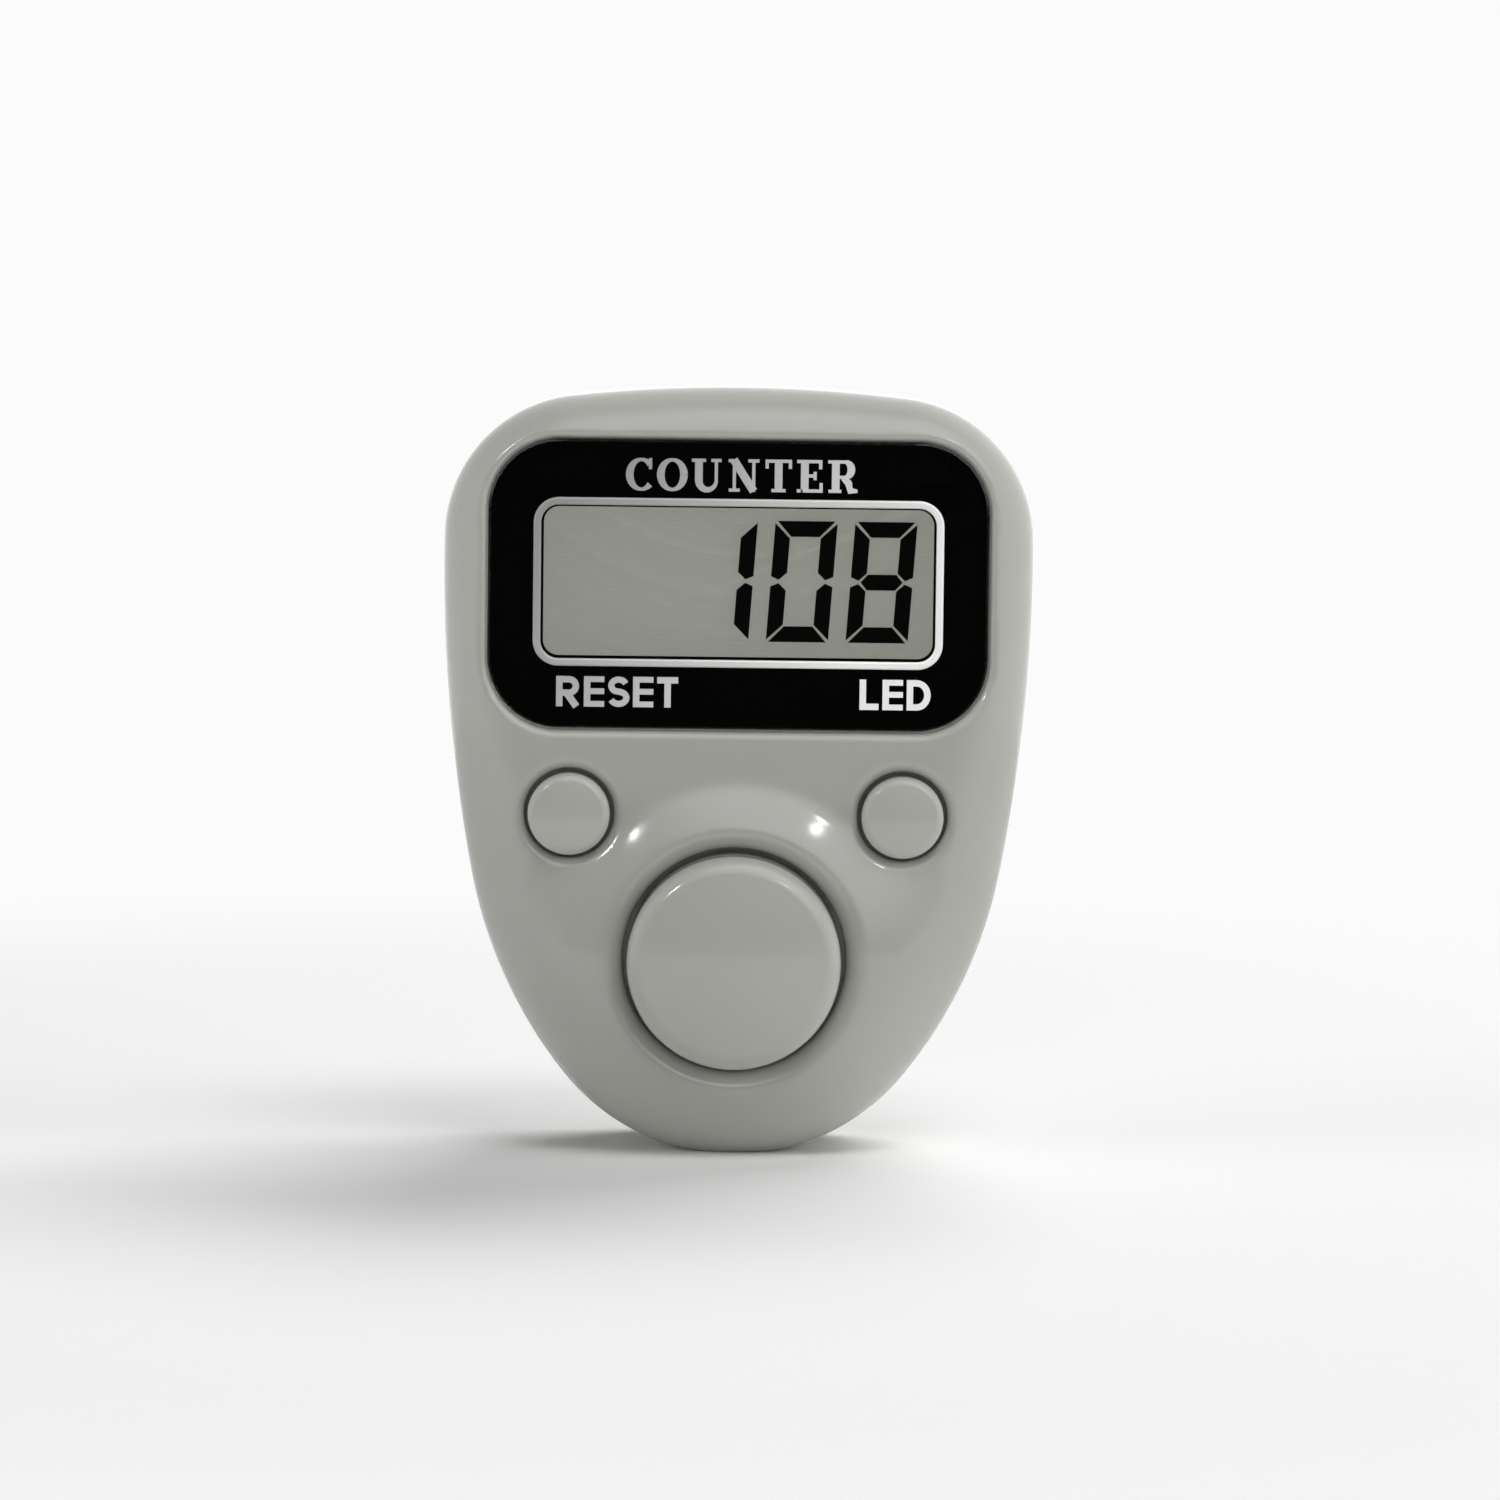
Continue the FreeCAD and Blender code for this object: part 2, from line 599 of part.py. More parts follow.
def controller_chip():
    """The epoxy blob over the controller die."""
    sphere_r = (BLOB_R**2 + BLOB_RISE**2) / (2 * BLOB_RISE)
    ball = Part.makeSphere(sphere_r, V(0, BOARD_BACK_Y + BLOB_RISE - sphere_r, BLOB_Z))
    return ball.common(disc(BLOB_R + 1, BOARD_BACK_Y, BOARD_BACK_Y + BLOB_RISE + 1, 0, BLOB_Z))


def backlight_led():
    x, y, half = GUIDE_HALF_W + LED_GAP, BOARD_FRONT_Y, LED_SIDE
    return box(x, x + LED_SIDE, y - LED_SIDE, y, LCD_Z - half, LCD_Z + half)


def board_chip(x, length, width, thickness):
    """A small block soldered to the back of the board."""
    z0, z1 = CHIP_Z - width / 2, CHIP_Z + width / 2
    return box(x - length / 2, x + length / 2, BOARD_BACK_Y, BOARD_BACK_Y + thickness, z0, z1)


def chip_capacitor():
    body = board_chip(CAPACITOR_X, CAPACITOR_L, CAPACITOR_W, CAPACITOR_T)
    return body.makeFillet(CAPACITOR_ROUND, body.Edges)


def chip_resistors():
    spots = [RESISTOR_FIRST_X + RESISTOR_PITCH * i for i in range(RESISTOR_COUNT)]
    return Part.Compound([board_chip(x, RESISTOR_L, RESISTOR_W, RESISTOR_T) for x in spots])


# ---------------------------------------------------------------- power


def coin_cell_can():
    """The cell's cup, its rim crimped over the seal."""
    y0, y1 = CELL_FRONT_Y + 0.1, CELL_BACK_Y
    inner = CELL_R - CAN_T
    profile = [
        (0, y1 - CAN_T),
        (inner, y1 - CAN_T),
        (inner, y0 + 0.2),
        (inner - 0.2, y0),
        (CELL_R - 0.15, y0),
        (CELL_R, y0 + 0.15),
        (CELL_R, y1 - 0.2),
        (CELL_R - 0.2, y1),
        (0, y1),
    ]
    return turned_polygon(profile, 0, CELL_Z)


def coin_cell_cap():
    y0, y1 = CELL_FRONT_Y, CELL_BACK_Y - CAN_T
    step = y0 + CAP_STEP
    face = [(0, y0), (CAP_FACE_R, y0), (CAP_FACE_R + CAN_T, step - 0.05)]
    return turned_polygon(face + [(CAP_R, step), (CAP_R, y1), (0, y1)], 0, CELL_Z)


def coin_cell_seal():
    y0, y1 = CELL_FRONT_Y + CAP_STEP + 0.05, CELL_BACK_Y - CAN_T
    bore = disc(CAP_R + SEAL_FIT, y0 - 1, y1 + 1, 0, CELL_Z)
    return disc(CELL_R - CAN_T - SEAL_FIT, y0, y1, 0, CELL_Z).cut(bore)


def negative_contact():
    """A leaf soldered to the board whose crest bears on the middle of the cell's cap."""
    y, crest = BOARD_BACK_Y, CELL_FRONT_Y - LEAF_T - SEAL_FIT
    line = [(-2.3, y), (-1.3, y), (0.4, crest), (1.2, crest), (1.9, crest - 0.5)]
    back = [(run, at + LEAF_T) for run, at in reversed(line)]
    corners = [V(0, at, CELL_Z + run) for run, at in line + back]
    face = Part.Face(Part.Wire([segment(a, b) for a, b in zip(corners, corners[1:] + corners[:1])]))
    strip = face.extrude(V(LEAF_W, 0, 0))
    strip.translate(V(-LEAF_W / 2, 0, 0))
    return strip


def positive_contact():
    """An angle of sheet metal whose upright bears on the side of the cell's can."""
    x, y = CELL_R + SEAL_FIT, BOARD_BACK_Y
    low, high = CELL_Z - SIDE_CONTACT_HALF_W, CELL_Z + SIDE_CONTACT_HALF_W
    upright = box(x, x + LEAF_T, y, CELL_BACK_Y - 0.7, low, high)
    foot = box(x, x + SIDE_CONTACT_FOOT, y, y + LEAF_T, low, high)
    return upright.fuse(foot).removeSplitter()


def battery_cover():
    """The twist cover: a disc with a coin slot and a pointer, its neck and three bayonet tabs."""
    body = disc(COVER_R, COVER_FRONT_Y, COVER_BACK_Y, 0, CELL_Z)
    body = body.makeFillet(COVER_EDGE, edges_in_plane(body, COVER_BACK_Y))
    body = body.fuse(disc(COVER_NECK_R, CELL_BACK_Y + 0.05, COVER_FRONT_Y, 0, CELL_Z))
    over_cell = disc(CELL_R + 0.1, 0, REAR_Y, 0, CELL_Z)
    for angle in tab_angles(0.0):
        tab = sector(TAB_R, GROOVE_FRONT_Y + 0.08, LIP_FRONT_Y - 0.05, angle)
        body = body.fuse(tab.cut(over_cell))
    half_l, half_w = COIN_SLOT_HALF_L, COIN_SLOT_HALF_W
    slot_floor = COVER_BACK_Y - COIN_SLOT_DEPTH
    slot = box(-half_l, half_l, slot_floor, REAR_Y, CELL_Z - half_w, CELL_Z + half_w)
    ends = [e for e in slot.Edges if e.BoundBox.YLength > COIN_SLOT_DEPTH / 2]
    slot = slot.makeFillet(COIN_SLOT_ROUND, ends)
    pointer = disc(POINTER_R, COVER_BACK_Y - POINTER_DEPTH, REAR_Y, 0, CELL_Z + POINTER_AT)
    return body.cut([slot, pointer]).removeSplitter()


def cover_seal():
    y0, y1 = LIP_BACK_Y + SEAL_FIT, COVER_FRONT_Y
    bore = disc(COVER_NECK_R, y0 - 1, y1 + 1, 0, CELL_Z)
    return disc(COVER_R - 0.1, y0, y1, 0, CELL_Z).cut(bore)


# ---------------------------------------------------------------- fasteners


def case_screw(x, z):
    """A pan-head screw with a cross recess."""
    top = SEAT_Y + HEAD_T
    head = disc(HEAD_R, SEAT_Y, top, x, z)
    head = head.makeFillet(SCREW_EDGE, edges_in_plane(head, top))
    shank = disc(SHANK_R, SHANK_END_Y, SEAT_Y, x, z)
    shank = shank.makeChamfer(SCREW_EDGE, edges_in_plane(shank, SHANK_END_Y))
    screw = head.fuse(shank)
    for long_x, long_z in ((CROSS_HALF_L, CROSS_HALF_W), (CROSS_HALF_W, CROSS_HALF_L)):
        screw = screw.cut(box(x - long_x, x + long_x, top - CROSS_DEPTH, top + 1, z - long_z, z + long_z))
    return screw.removeSplitter()


def case_screws():
    placed = []
    for x, z in SCREW_SPOTS:
        placed += [case_screw(x, z), case_screw(-x, z)]
    return Part.Compound(placed)


NODES = {
    "front_case": front_case(),
    "rear_case": rear_case(),
    "main_button": main_button(),
    "reset_button": small_button(-SMALL_X),
    "led_button": small_button(SMALL_X),
    "main_dome": dome(0, MAIN_Z, **MAIN_DOME),
    "reset_dome": dome(-SMALL_X, SMALL_Z, **SMALL_DOME),
    "led_dome": dome(SMALL_X, SMALL_Z, **SMALL_DOME),
    "main_pill": pill(MAIN_PILL_R, 0, MAIN_Z),
    "reset_pill": pill(SMALL_PILL_R, -SMALL_X, SMALL_Z),
    "led_pill": pill(SMALL_PILL_R, SMALL_X, SMALL_Z),
    "display_window": display_window(),
    "window_mask": window_mask(),
    "display_trim": display_trim(),
    "circuit_board": circuit_board(),
    "controller_chip": controller_chip(),
    "backlight_leds": Part.Compound(both_sides(backlight_led())),
    "chip_resistors": chip_resistors(),
    "chip_capacitor": chip_capacitor(),
    "coin_cell_can": coin_cell_can(),
    "coin_cell_cap": coin_cell_cap(),
    "coin_cell_seal": coin_cell_seal(),
    "negative_contact": negative_contact(),
    "positive_contact": positive_contact(),
    "battery_cover": battery_cover(),
    "cover_seal": cover_seal(),
    "case_screws": case_screws(),
}
NODES.update(lcd_stack())

os.makedirs("parts", exist_ok=True)
for name, shape in NODES.items():
    shape.exportStep(os.path.join("parts", name + ".step"))
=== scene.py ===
import json
from math import cos, pi, radians, sin, sqrt, tan

import bpy
import numpy as np
from mathutils import Matrix, Vector


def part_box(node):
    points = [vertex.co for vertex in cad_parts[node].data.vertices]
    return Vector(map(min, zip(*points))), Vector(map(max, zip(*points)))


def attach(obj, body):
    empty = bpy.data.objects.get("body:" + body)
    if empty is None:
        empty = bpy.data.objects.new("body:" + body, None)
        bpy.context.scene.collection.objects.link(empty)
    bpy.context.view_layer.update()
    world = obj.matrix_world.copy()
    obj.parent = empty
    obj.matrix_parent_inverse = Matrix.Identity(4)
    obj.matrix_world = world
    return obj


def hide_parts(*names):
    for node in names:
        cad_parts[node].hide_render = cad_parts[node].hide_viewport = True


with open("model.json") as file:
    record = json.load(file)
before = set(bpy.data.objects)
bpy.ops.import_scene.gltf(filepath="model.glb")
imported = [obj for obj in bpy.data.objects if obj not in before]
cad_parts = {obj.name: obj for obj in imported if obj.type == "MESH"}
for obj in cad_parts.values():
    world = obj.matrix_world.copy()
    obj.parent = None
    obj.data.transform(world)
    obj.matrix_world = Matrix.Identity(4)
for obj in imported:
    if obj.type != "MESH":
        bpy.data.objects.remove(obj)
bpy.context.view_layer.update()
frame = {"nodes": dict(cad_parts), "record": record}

# Looks of the electronic hand tally counter. The frame is in metres: X to the right, Y towards the
# back, Z up, front face towards -Y. Shape functions below work in millimetres, as the CAD does.
MM = 0.001


def box_mm(node):
    """A CAD node's lowest and highest corner, in millimetres."""
    low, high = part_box(node)
    return np.array(low) / MM, np.array(high) / MM


# ---------------------------------------------------------------- places read from the frame

CASE_LOW, CASE_HIGH = box_mm("front_case")
WINDOW_LOW, WINDOW_HIGH = box_mm("display_window")
TRIM_LOW, TRIM_HIGH = box_mm("display_trim")
MAIN_LOW, MAIN_HIGH = box_mm("main_button")
LED_LOW, LED_HIGH = box_mm("led_button")

MAIN_Z = (MAIN_LOW[2] + MAIN_HIGH[2]) / 2
SMALL_X = (LED_LOW[0] + LED_HIGH[0]) / 2
SMALL_Z = (LED_LOW[2] + LED_HIGH[2]) / 2
PARTING_Y = CASE_HIGH[1]
CREST_Y = CASE_LOW[1]
WINDOW_MID_Z = (WINDOW_LOW[2] + WINDOW_HIGH[2]) / 2
LCD_MID_Z = (TRIM_LOW[2] + TRIM_HIGH[2]) / 2
POCKET_FLOOR_Y = box_mm("window_mask")[1][1]
BOARD_FRONT_Y = box_mm("circuit_board")[0][1]
DIGITS_BACK_Y = box_mm("lcd_rear_glass")[0][1]
LEDGE_BACK_Y = box_mm("lcd_front_polarizer")[0][1]

# Case outline, the same tangent arcs as the CAD: (radius, heading at the end of the arc).
SIDE_ARCS = ((10.83, 50.7), (22.63, 78.9), (80.5, 90.9), (7.1, 173.3))
FOOT_CUT = 0.25
WALL = 1.4
FACE_Y = -5.7
CEILING_Y = FACE_Y + WALL
MAIN_HOLE_R = 5.5
SMALL_HOLE_R = 2.22
POCKET_GAP = 0.1
POCKET_CORNER = 3.6

# How far each edge of the front face is rounded.
MAIN_LIP_R = 1.2
SMALL_LIP_R = 0.45
POCKET_LIP_R = 0.38
PARTING_R = 0.2

# Inside the shell, (x, z) of the pair on each side: screw posts and the pegs that the board rests on.
SCREW_POSTS, SCREW_POST_R = ((10.2, 34.6), (8.0, 8.5)), 1.6
BOARD_PEGS, BOARD_PEG_R = ((11.2, 20.1), (5.6, 4.7)), 0.8
POST_ROOT = 1.0  # how far a post or a peg runs into the wall behind the face
LEDGE_DROP = 0.9  # how far the display's ledge reaches below the window
RIM_WALL, RIM_STEP_Y = 0.7, -0.05  # the thin rim that the rear case fits into
APERTURE_HALF_W, APERTURE_HALF_H, APERTURE_CORNER = 9.85, 4.0, 1.0


# ---------------------------------------------------------------- implicit shapes


def outline_arcs():
    """(centre x, centre z, radius, first heading, last heading) of each arc of the right side."""
    x, z, start = 0.0, -FOOT_CUT, 0.0
    arcs = []
    for radius, end in SIDE_ARCS:
        cx, cz = x - radius * sin(radians(start)), z + radius * cos(radians(start))
        arcs.append((cx, cz, radius, radians(start), radians(end)))
        x, z, start = cx + radius * sin(radians(end)), cz - radius * cos(radians(end)), end
    crown = x / sin(radians(start))
    arcs.append((0.0, z + crown * cos(radians(start)), crown, radians(start), pi))
    return arcs


DEEPEST_INSET = 6.0  # points further in than this all count as this far in
HEADING_SLACK = 1e-3


def inset(x, z):
    """How far a point lies inside the case outline; negative outside."""
    side = np.abs(x)
    best = np.full(np.broadcast(x, z).shape, DEEPEST_INSET)
    for cx, cz, radius, first, last in outline_arcs():
        dx, dz = side - cx, z - cz
        heading = np.arctan2(dx, -dz)
        depth = radius - np.hypot(dx, dz)
        inside = (heading >= first - HEADING_SLACK) & (heading <= last + HEADING_SLACK)
        best = np.where(inside, np.minimum(best, depth), best)
    return best


def smooth_min(a, b, k):
    """The smaller of two heights, blended over a width of k where they meet."""
    h = np.clip(0.5 + 0.5 * (b - a) / k, 0.0, 1.0)
    return b + (a - b) * h - k * h * (1.0 - h)


def round_meet(a, b, r):
    """Intersection of two solids whose shared edge is rounded to radius r."""
    u = np.maximum(r + a, 0.0)
    v = np.maximum(r + b, 0.0)
    return np.minimum(-r, np.maximum(a, b)) + np.hypot(u, v)


def rounded_rectangle(x, z, half_w, half_h, corner, z_mid):
    """Distance outside an upright rectangle with round corners; negative inside."""
    qx = np.abs(x) - half_w + corner
    qz = np.abs(z - z_mid) - half_h + corner
    outside = np.hypot(np.maximum(qx, 0.0), np.maximum(qz, 0.0))
    return outside + np.minimum(np.maximum(qx, qz), 0.0) - corner


def rod(x, y, z, at_x, at_z, radius, y0, y1):
    """A cylinder that runs front to back, on both sides of the centre line."""
    round_ = np.hypot(np.abs(x) - at_x, z - at_z) - radius
    return np.maximum(round_, np.maximum(y0 - y, y - y1))


def ramp(value, low, high):
    """A smooth step from 0 at low to 1 at high."""
    t = np.clip((value - low) / (high - low), 0.0, 1.0)
    return t * t * (3.0 - 2.0 * t)


DOME_R = 21.5  # the swell that carries the count button
EDGE_IN = 3.9  # the case edge is a quarter ellipse: this far in from the side
EDGE_DEEP = 2.9  # and this deep
DOME_END_R = 16.0  # the swell stops falling away this far from the button's axis
LIP_LOSS = 0.12  # what rounding the button's lip takes off the crest
# The crease round the swell is crisp above the button and melts away down its sides.
CREASE_CRISP, CREASE_MELT = 0.2, 2.1
MELT_FROM, MELT_TO = radians(36.0), radians(88.0)


def face_height(x, z):
    """Y of the front face: flat round the window, swelling to the count button below it."""
    r = np.hypot(x, z - MAIN_Z)
    rim_sag = DOME_R - sqrt(DOME_R**2 - MAIN_HOLE_R**2)
    dome = CREST_Y - LIP_LOSS - rim_sag + DOME_R - np.sqrt(DOME_R**2 - np.minimum(r, DOME_END_R) ** 2)
    turn = np.abs(np.arctan2(x, z - MAIN_Z))
    blend = CREASE_CRISP + CREASE_MELT * ramp(turn, MELT_FROM, MELT_TO)
    return smooth_min(np.full(r.shape, FACE_Y), dome, blend)


def edged(d, depth, wide, deep):
    """A body with a quarter-ellipse edge: d is the inset from its side, depth from its face."""
    u = np.maximum(wide - d, 0.0) / wide
    v = np.maximum(deep - depth, 0.0) / deep
    return (np.hypot(u, v) - 1.0) * min(wide, deep)


def front_case_shape(x, y, z):
    """The front case as an implicit solid in millimetres; negative inside."""
    d = inset(x, z)
    shape = edged(d, y - face_height(x, z), EDGE_IN, EDGE_DEEP)
    shape = round_meet(shape, MAIN_HOLE_R - np.hypot(x, z - MAIN_Z), MAIN_LIP_R)
    small_holes = SMALL_HOLE_R - np.hypot(np.abs(x) - SMALL_X, z - SMALL_Z)
    shape = round_meet(shape, small_holes, SMALL_LIP_R)
    half_w = (WINDOW_HIGH[0] - WINDOW_LOW[0]) / 2 + POCKET_GAP
    half_h = (WINDOW_HIGH[2] - WINDOW_LOW[2]) / 2 + POCKET_GAP
    pocket = rounded_rectangle(x, z, half_w, half_h, POCKET_CORNER, WINDOW_MID_Z)
    shape = round_meet(shape, np.minimum(-pocket, POCKET_FLOOR_Y - y), POCKET_LIP_R)
    shape = round_meet(shape, y - PARTING_Y, PARTING_R)
    shape = np.maximum(shape, -z)
    cavity = np.maximum(WALL - d, CEILING_Y - y)
    ribs = np.maximum(y - LEDGE_BACK_Y, WINDOW_LOW[2] - LEDGE_DROP - z)
    root_y = CEILING_Y - POST_ROOT
    for at_x, at_z in SCREW_POSTS:
        ribs = np.minimum(ribs, rod(x, y, z, at_x, at_z, SCREW_POST_R, root_y, PARTING_Y))
    for at_x, at_z in BOARD_PEGS:
        ribs = np.minimum(ribs, rod(x, y, z, at_x, at_z, BOARD_PEG_R, root_y, BOARD_FRONT_Y))
    shape = np.maximum(shape, -np.maximum(cavity, -ribs))
    shape = np.maximum(shape, -np.maximum(RIM_WALL - d, RIM_STEP_Y - y))
    aperture = rounded_rectangle(
        x, z, APERTURE_HALF_W, APERTURE_HALF_H, APERTURE_CORNER, LCD_MID_Z
    )
    return np.maximum(shape, -aperture)


# ---------------------------------------------------------------- meshing an implicit shape


def edge_crossings(field):
    """Mean crossing point of each grid cell, in cell units, and how many edges cross."""
    cells = tuple(n - 1 for n in field.shape)
    total = np.zeros(cells + (3,), np.float32)
    count = np.zeros(cells, np.int8)
    for axis in range(3):
        others = [a for a in range(3) if a != axis]
        for i in (0, 1):
            for j in (0, 1):
                start = [0, 0, 0]
                start[others[0]], start[others[1]] = i, j
                near = tuple(slice(s, s + n) for s, n in zip(start, cells))
                start[axis] = 1
                far = tuple(slice(s, s + n) for s, n in zip(start, cells))
                a, b = field[near], field[far]
                cross = (a < 0) != (b < 0)
                share = np.where(cross, a / np.where(cross, a - b, 1.0), 0.0)
                total[..., axis] += share
                total[..., others[0]] += i * cross
                total[..., others[1]] += j * cross
                count += cross
    return total, count


def net_faces(field, index):
    """One quad for each grid edge that crosses the surface, wound outwards."""
    quads = []
    for axis in range(3):
        b, c = (axis + 1) % 3, (axis + 2) % 3
        lead = [slice(1, -1)] * 3
        lead[axis] = slice(0, -1)
        trail = list(lead)
        trail[axis] = slice(1, None)
        inside = field[tuple(lead)] < 0
        cross = np.argwhere(inside != (field[tuple(trail)] < 0))
        outward = inside[tuple(cross.T)]
        cross[:, b] += 1
        cross[:, c] += 1
        ring = []
        for db, dc in ((1, 1), (0, 1), (0, 0), (1, 0)):
            cell = cross.copy()
            cell[:, b] -= db
            cell[:, c] -= dc
            ring.append(index[tuple(cell.T)])
        ring = np.stack(ring, 1)
        quads.append(np.where(outward[:, None], ring, ring[:, ::-1]))
    return np.concatenate(quads)


SETTLE_ROUNDS = 3
SETTLE_REACH = 0.4  # the furthest that a point moves in one round, in grid steps
PROBE = 0.02  # how far from a point the shape is sampled for its gradient
LEAST_SLOPE2 = 0.05  # the least squared slope, so that no flat spot throws a point far off


def settle(shape, points, step):
    """Move points onto the surface along the shape's own gradient."""
    for _ in range(SETTLE_ROUNDS):
        value = shape(*points.T)
        slope = np.stack(
            [(shape(*(points + e).T) - shape(*(points - e).T)) / (2 * PROBE) for e in np.eye(3) * PROBE], 1
        )
        length2 = np.maximum((slope**2).sum(1), LEAST_SLOPE2)
        move = -slope * (value / length2)[:, None]
        reach = np.linalg.norm(move, axis=1)
        points = points + move * np.minimum(1.0, SETTLE_REACH * step / np.maximum(reach, 1e-9))[:, None]
    return points


def mesh_shape(name, shape, low, high, step):
    """A quad mesh of an implicit shape, made on a grid and then settled onto the exact surface."""
    axes = [np.arange(lo, hi + step, step) for lo, hi in zip(low, high)]
    x, y, z = np.meshgrid(*axes, indexing="ij")
    field = shape(x, y, z).astype(np.float32)
    total, count = edge_crossings(field)
    active = count > 0
    index = np.full(count.shape, -1, np.int64)
    index[active] = np.arange(active.sum())
    cells = np.argwhere(active)
    points = np.array(low) + (cells + total[active] / count[active][:, None]) * step
    points = settle(shape, points, step)
    faces = net_faces(field, index)
    mesh = bpy.data.meshes.new(name)
    mesh.vertices.add(len(points))
    mesh.vertices.foreach_set("co", (points * MM).ravel())
    mesh.loops.add(faces.size)
    mesh.loops.foreach_set("vertex_index", faces.ravel().astype(np.int32))
    mesh.polygons.add(len(faces))
    mesh.polygons.foreach_set("loop_start", np.arange(0, faces.size, 4, dtype=np.int32))
    mesh.update(calc_edges=True)
    mesh.validate()
    mesh.shade_smooth()
    obj = bpy.data.objects.new(name, mesh)
    bpy.context.scene.collection.objects.link(obj)
    return obj


# ---------------------------------------------------------------- materials


class Nodes:
    """A material's node tree with short ways to add and link nodes."""

    def __init__(self, name):
        self.material = bpy.data.materials.new(name)
        self.material.use_nodes = True
        self.tree = self.material.node_tree
        self.tree.nodes.clear()
        self.output = self.tree.nodes.new("ShaderNodeOutputMaterial")

    def add(self, kind, inputs=(), **settings):
        node = self.tree.nodes.new("ShaderNode" + kind)
        for key, value in settings.items():
            setattr(node, key, value)
        for key, value in dict(inputs).items():
            self.put(node, key, value)
        return node

    def put(self, node, key, value):
        """Set an input to a value, or link it to another node's output."""
        if isinstance(value, bpy.types.NodeSocket):
            self.tree.links.new(value, node.inputs[key])
        else:
            node.inputs[key].default_value = value

    def place(self):
        return self.add("TexCoord").outputs["Object"]

    def join(self, fac, first, second):
        node = self.add("MixShader", {0: fac})
        self.put(node, 1, first.outputs[0])
        self.put(node, 2, second.outputs[0])
        return node

    def noise(self, scale, detail=3.0, rough=0.5):
        """Noise whose scale is in features per metre."""
        settings = {"Vector": self.place(), "Scale": scale, "Detail": detail, "Roughness": rough}
        return self.add("TexNoise", settings).outputs["Fac"]

    def range(self, value, low, high):
        node = self.add("MapRange", {"Value": value, "To Min": low, "To Max": high})
        return node.outputs["Result"]

    def mix(self, fac, a, b):
        node = self.add("Mix", data_type="RGBA")
        self.put(node, 0, fac)
        self.put(node, 6, a)
        self.put(node, 7, b)
        return node.outputs[2]

    def bump(self, height, strength, distance):
        node = self.add("Bump", {"Height": height, "Strength": strength, "Distance": distance})
        return node.outputs["Normal"]

    def finish(self, shader):
        self.tree.links.new(shader, self.output.inputs["Surface"])
        return self.material


def rgb(*values):
    return (*values, 1.0)


def moulded_plastic(name, colour, rough):
    """Injection-moulded plastic: slight colour drift, fine polish texture, a faint soft waviness."""
    n = Nodes(name)
    drift = n.noise(120.0, 2.0)
    light = rgb(*(min(c * 1.03, 1.0) for c in colour))
    dark = rgb(*(c * 0.97 for c in colour))
    fine = n.noise(9000.0, 4.0, 0.6)
    wave = n.noise(260.0, 1.0)
    polish = n.range(n.noise(1400.0, 3.0), rough * 0.85, rough * 1.2)
    normal = n.bump(fine, 0.02, 0.00002)
    wave_bump = n.add("Bump", {"Height": wave, "Strength": 0.03, "Distance": 0.0002, "Normal": normal})
    shader = n.add(
        "BsdfPrincipled",
        {
            "Base Color": n.mix(drift, dark, light),
            "Roughness": polish,
            "IOR": 1.5,
            "Normal": wave_bump.outputs["Normal"],
        },
    )
    return n.finish(shader.outputs[0])


def clear_sheet(name, tint, ior=1.49, rough=0.02):
    """Clear acrylic, glass or film: sees straight through, with its own surface reflection."""
    n = Nodes(name)
    # Schlick's reflectance, the same on both faces, so that a slanting view still passes out of the back.
    head_on = ((ior - 1.0) / (ior + 1.0)) ** 2
    facing = n.add("LayerWeight", {"Blend": 0.5}).outputs["Facing"]
    steep = n.add("Math", {0: facing, 1: 5.0}, operation="POWER").outputs[0]
    share = n.add("MapRange", {"Value": steep, "To Min": head_on, "To Max": 1.0}).outputs["Result"]
    haze = n.range(n.noise(300.0, 2.0), rough, rough * 1.6)
    through = n.add("BsdfTransparent", {"Color": rgb(*tint)})
    gloss = n.add("BsdfGlossy", {"Color": rgb(1, 1, 1), "Roughness": haze})
    return n.finish(n.join(share, through, gloss).outputs[0])


def solid(name, colour, rough, metal=0.0, grain=2000.0, contrast=0.06, coat=0.0, gloss=0.5):
    """An opaque finish whose colour, roughness and surface vary finely."""
    n = Nodes(name)
    speck = n.noise(grain, 4.0, 0.6)
    dark = rgb(*(c * (1 - contrast) for c in colour))
    light = rgb(*(min(c * (1 + contrast), 1.0) for c in colour))
    shader = n.add(
        "BsdfPrincipled",
        {
            "Base Color": n.mix(speck, dark, light),
            "Metallic": metal,
            "Roughness": n.range(speck, rough * 0.85, min(rough * 1.15, 1.0)),
            "Coat Weight": coat,
            "Specular IOR Level": gloss,
            "Normal": n.bump(speck, 0.05, 0.00003),
        },
    )
    return n.finish(shader.outputs[0])


# The ink's colour carries a painted highlight: dark at the display's upper left and bright at its lower
# right, where the light falls. It runs this way in X and Z, between these two places along it, in metres.
INK_SLOPE = (0.8, 0.0, -0.6)
INK_DARK_AT, INK_BRIGHT_AT = -0.029, -0.010
INK_LAG = 1.5  # above 1, the dark end is the longer one


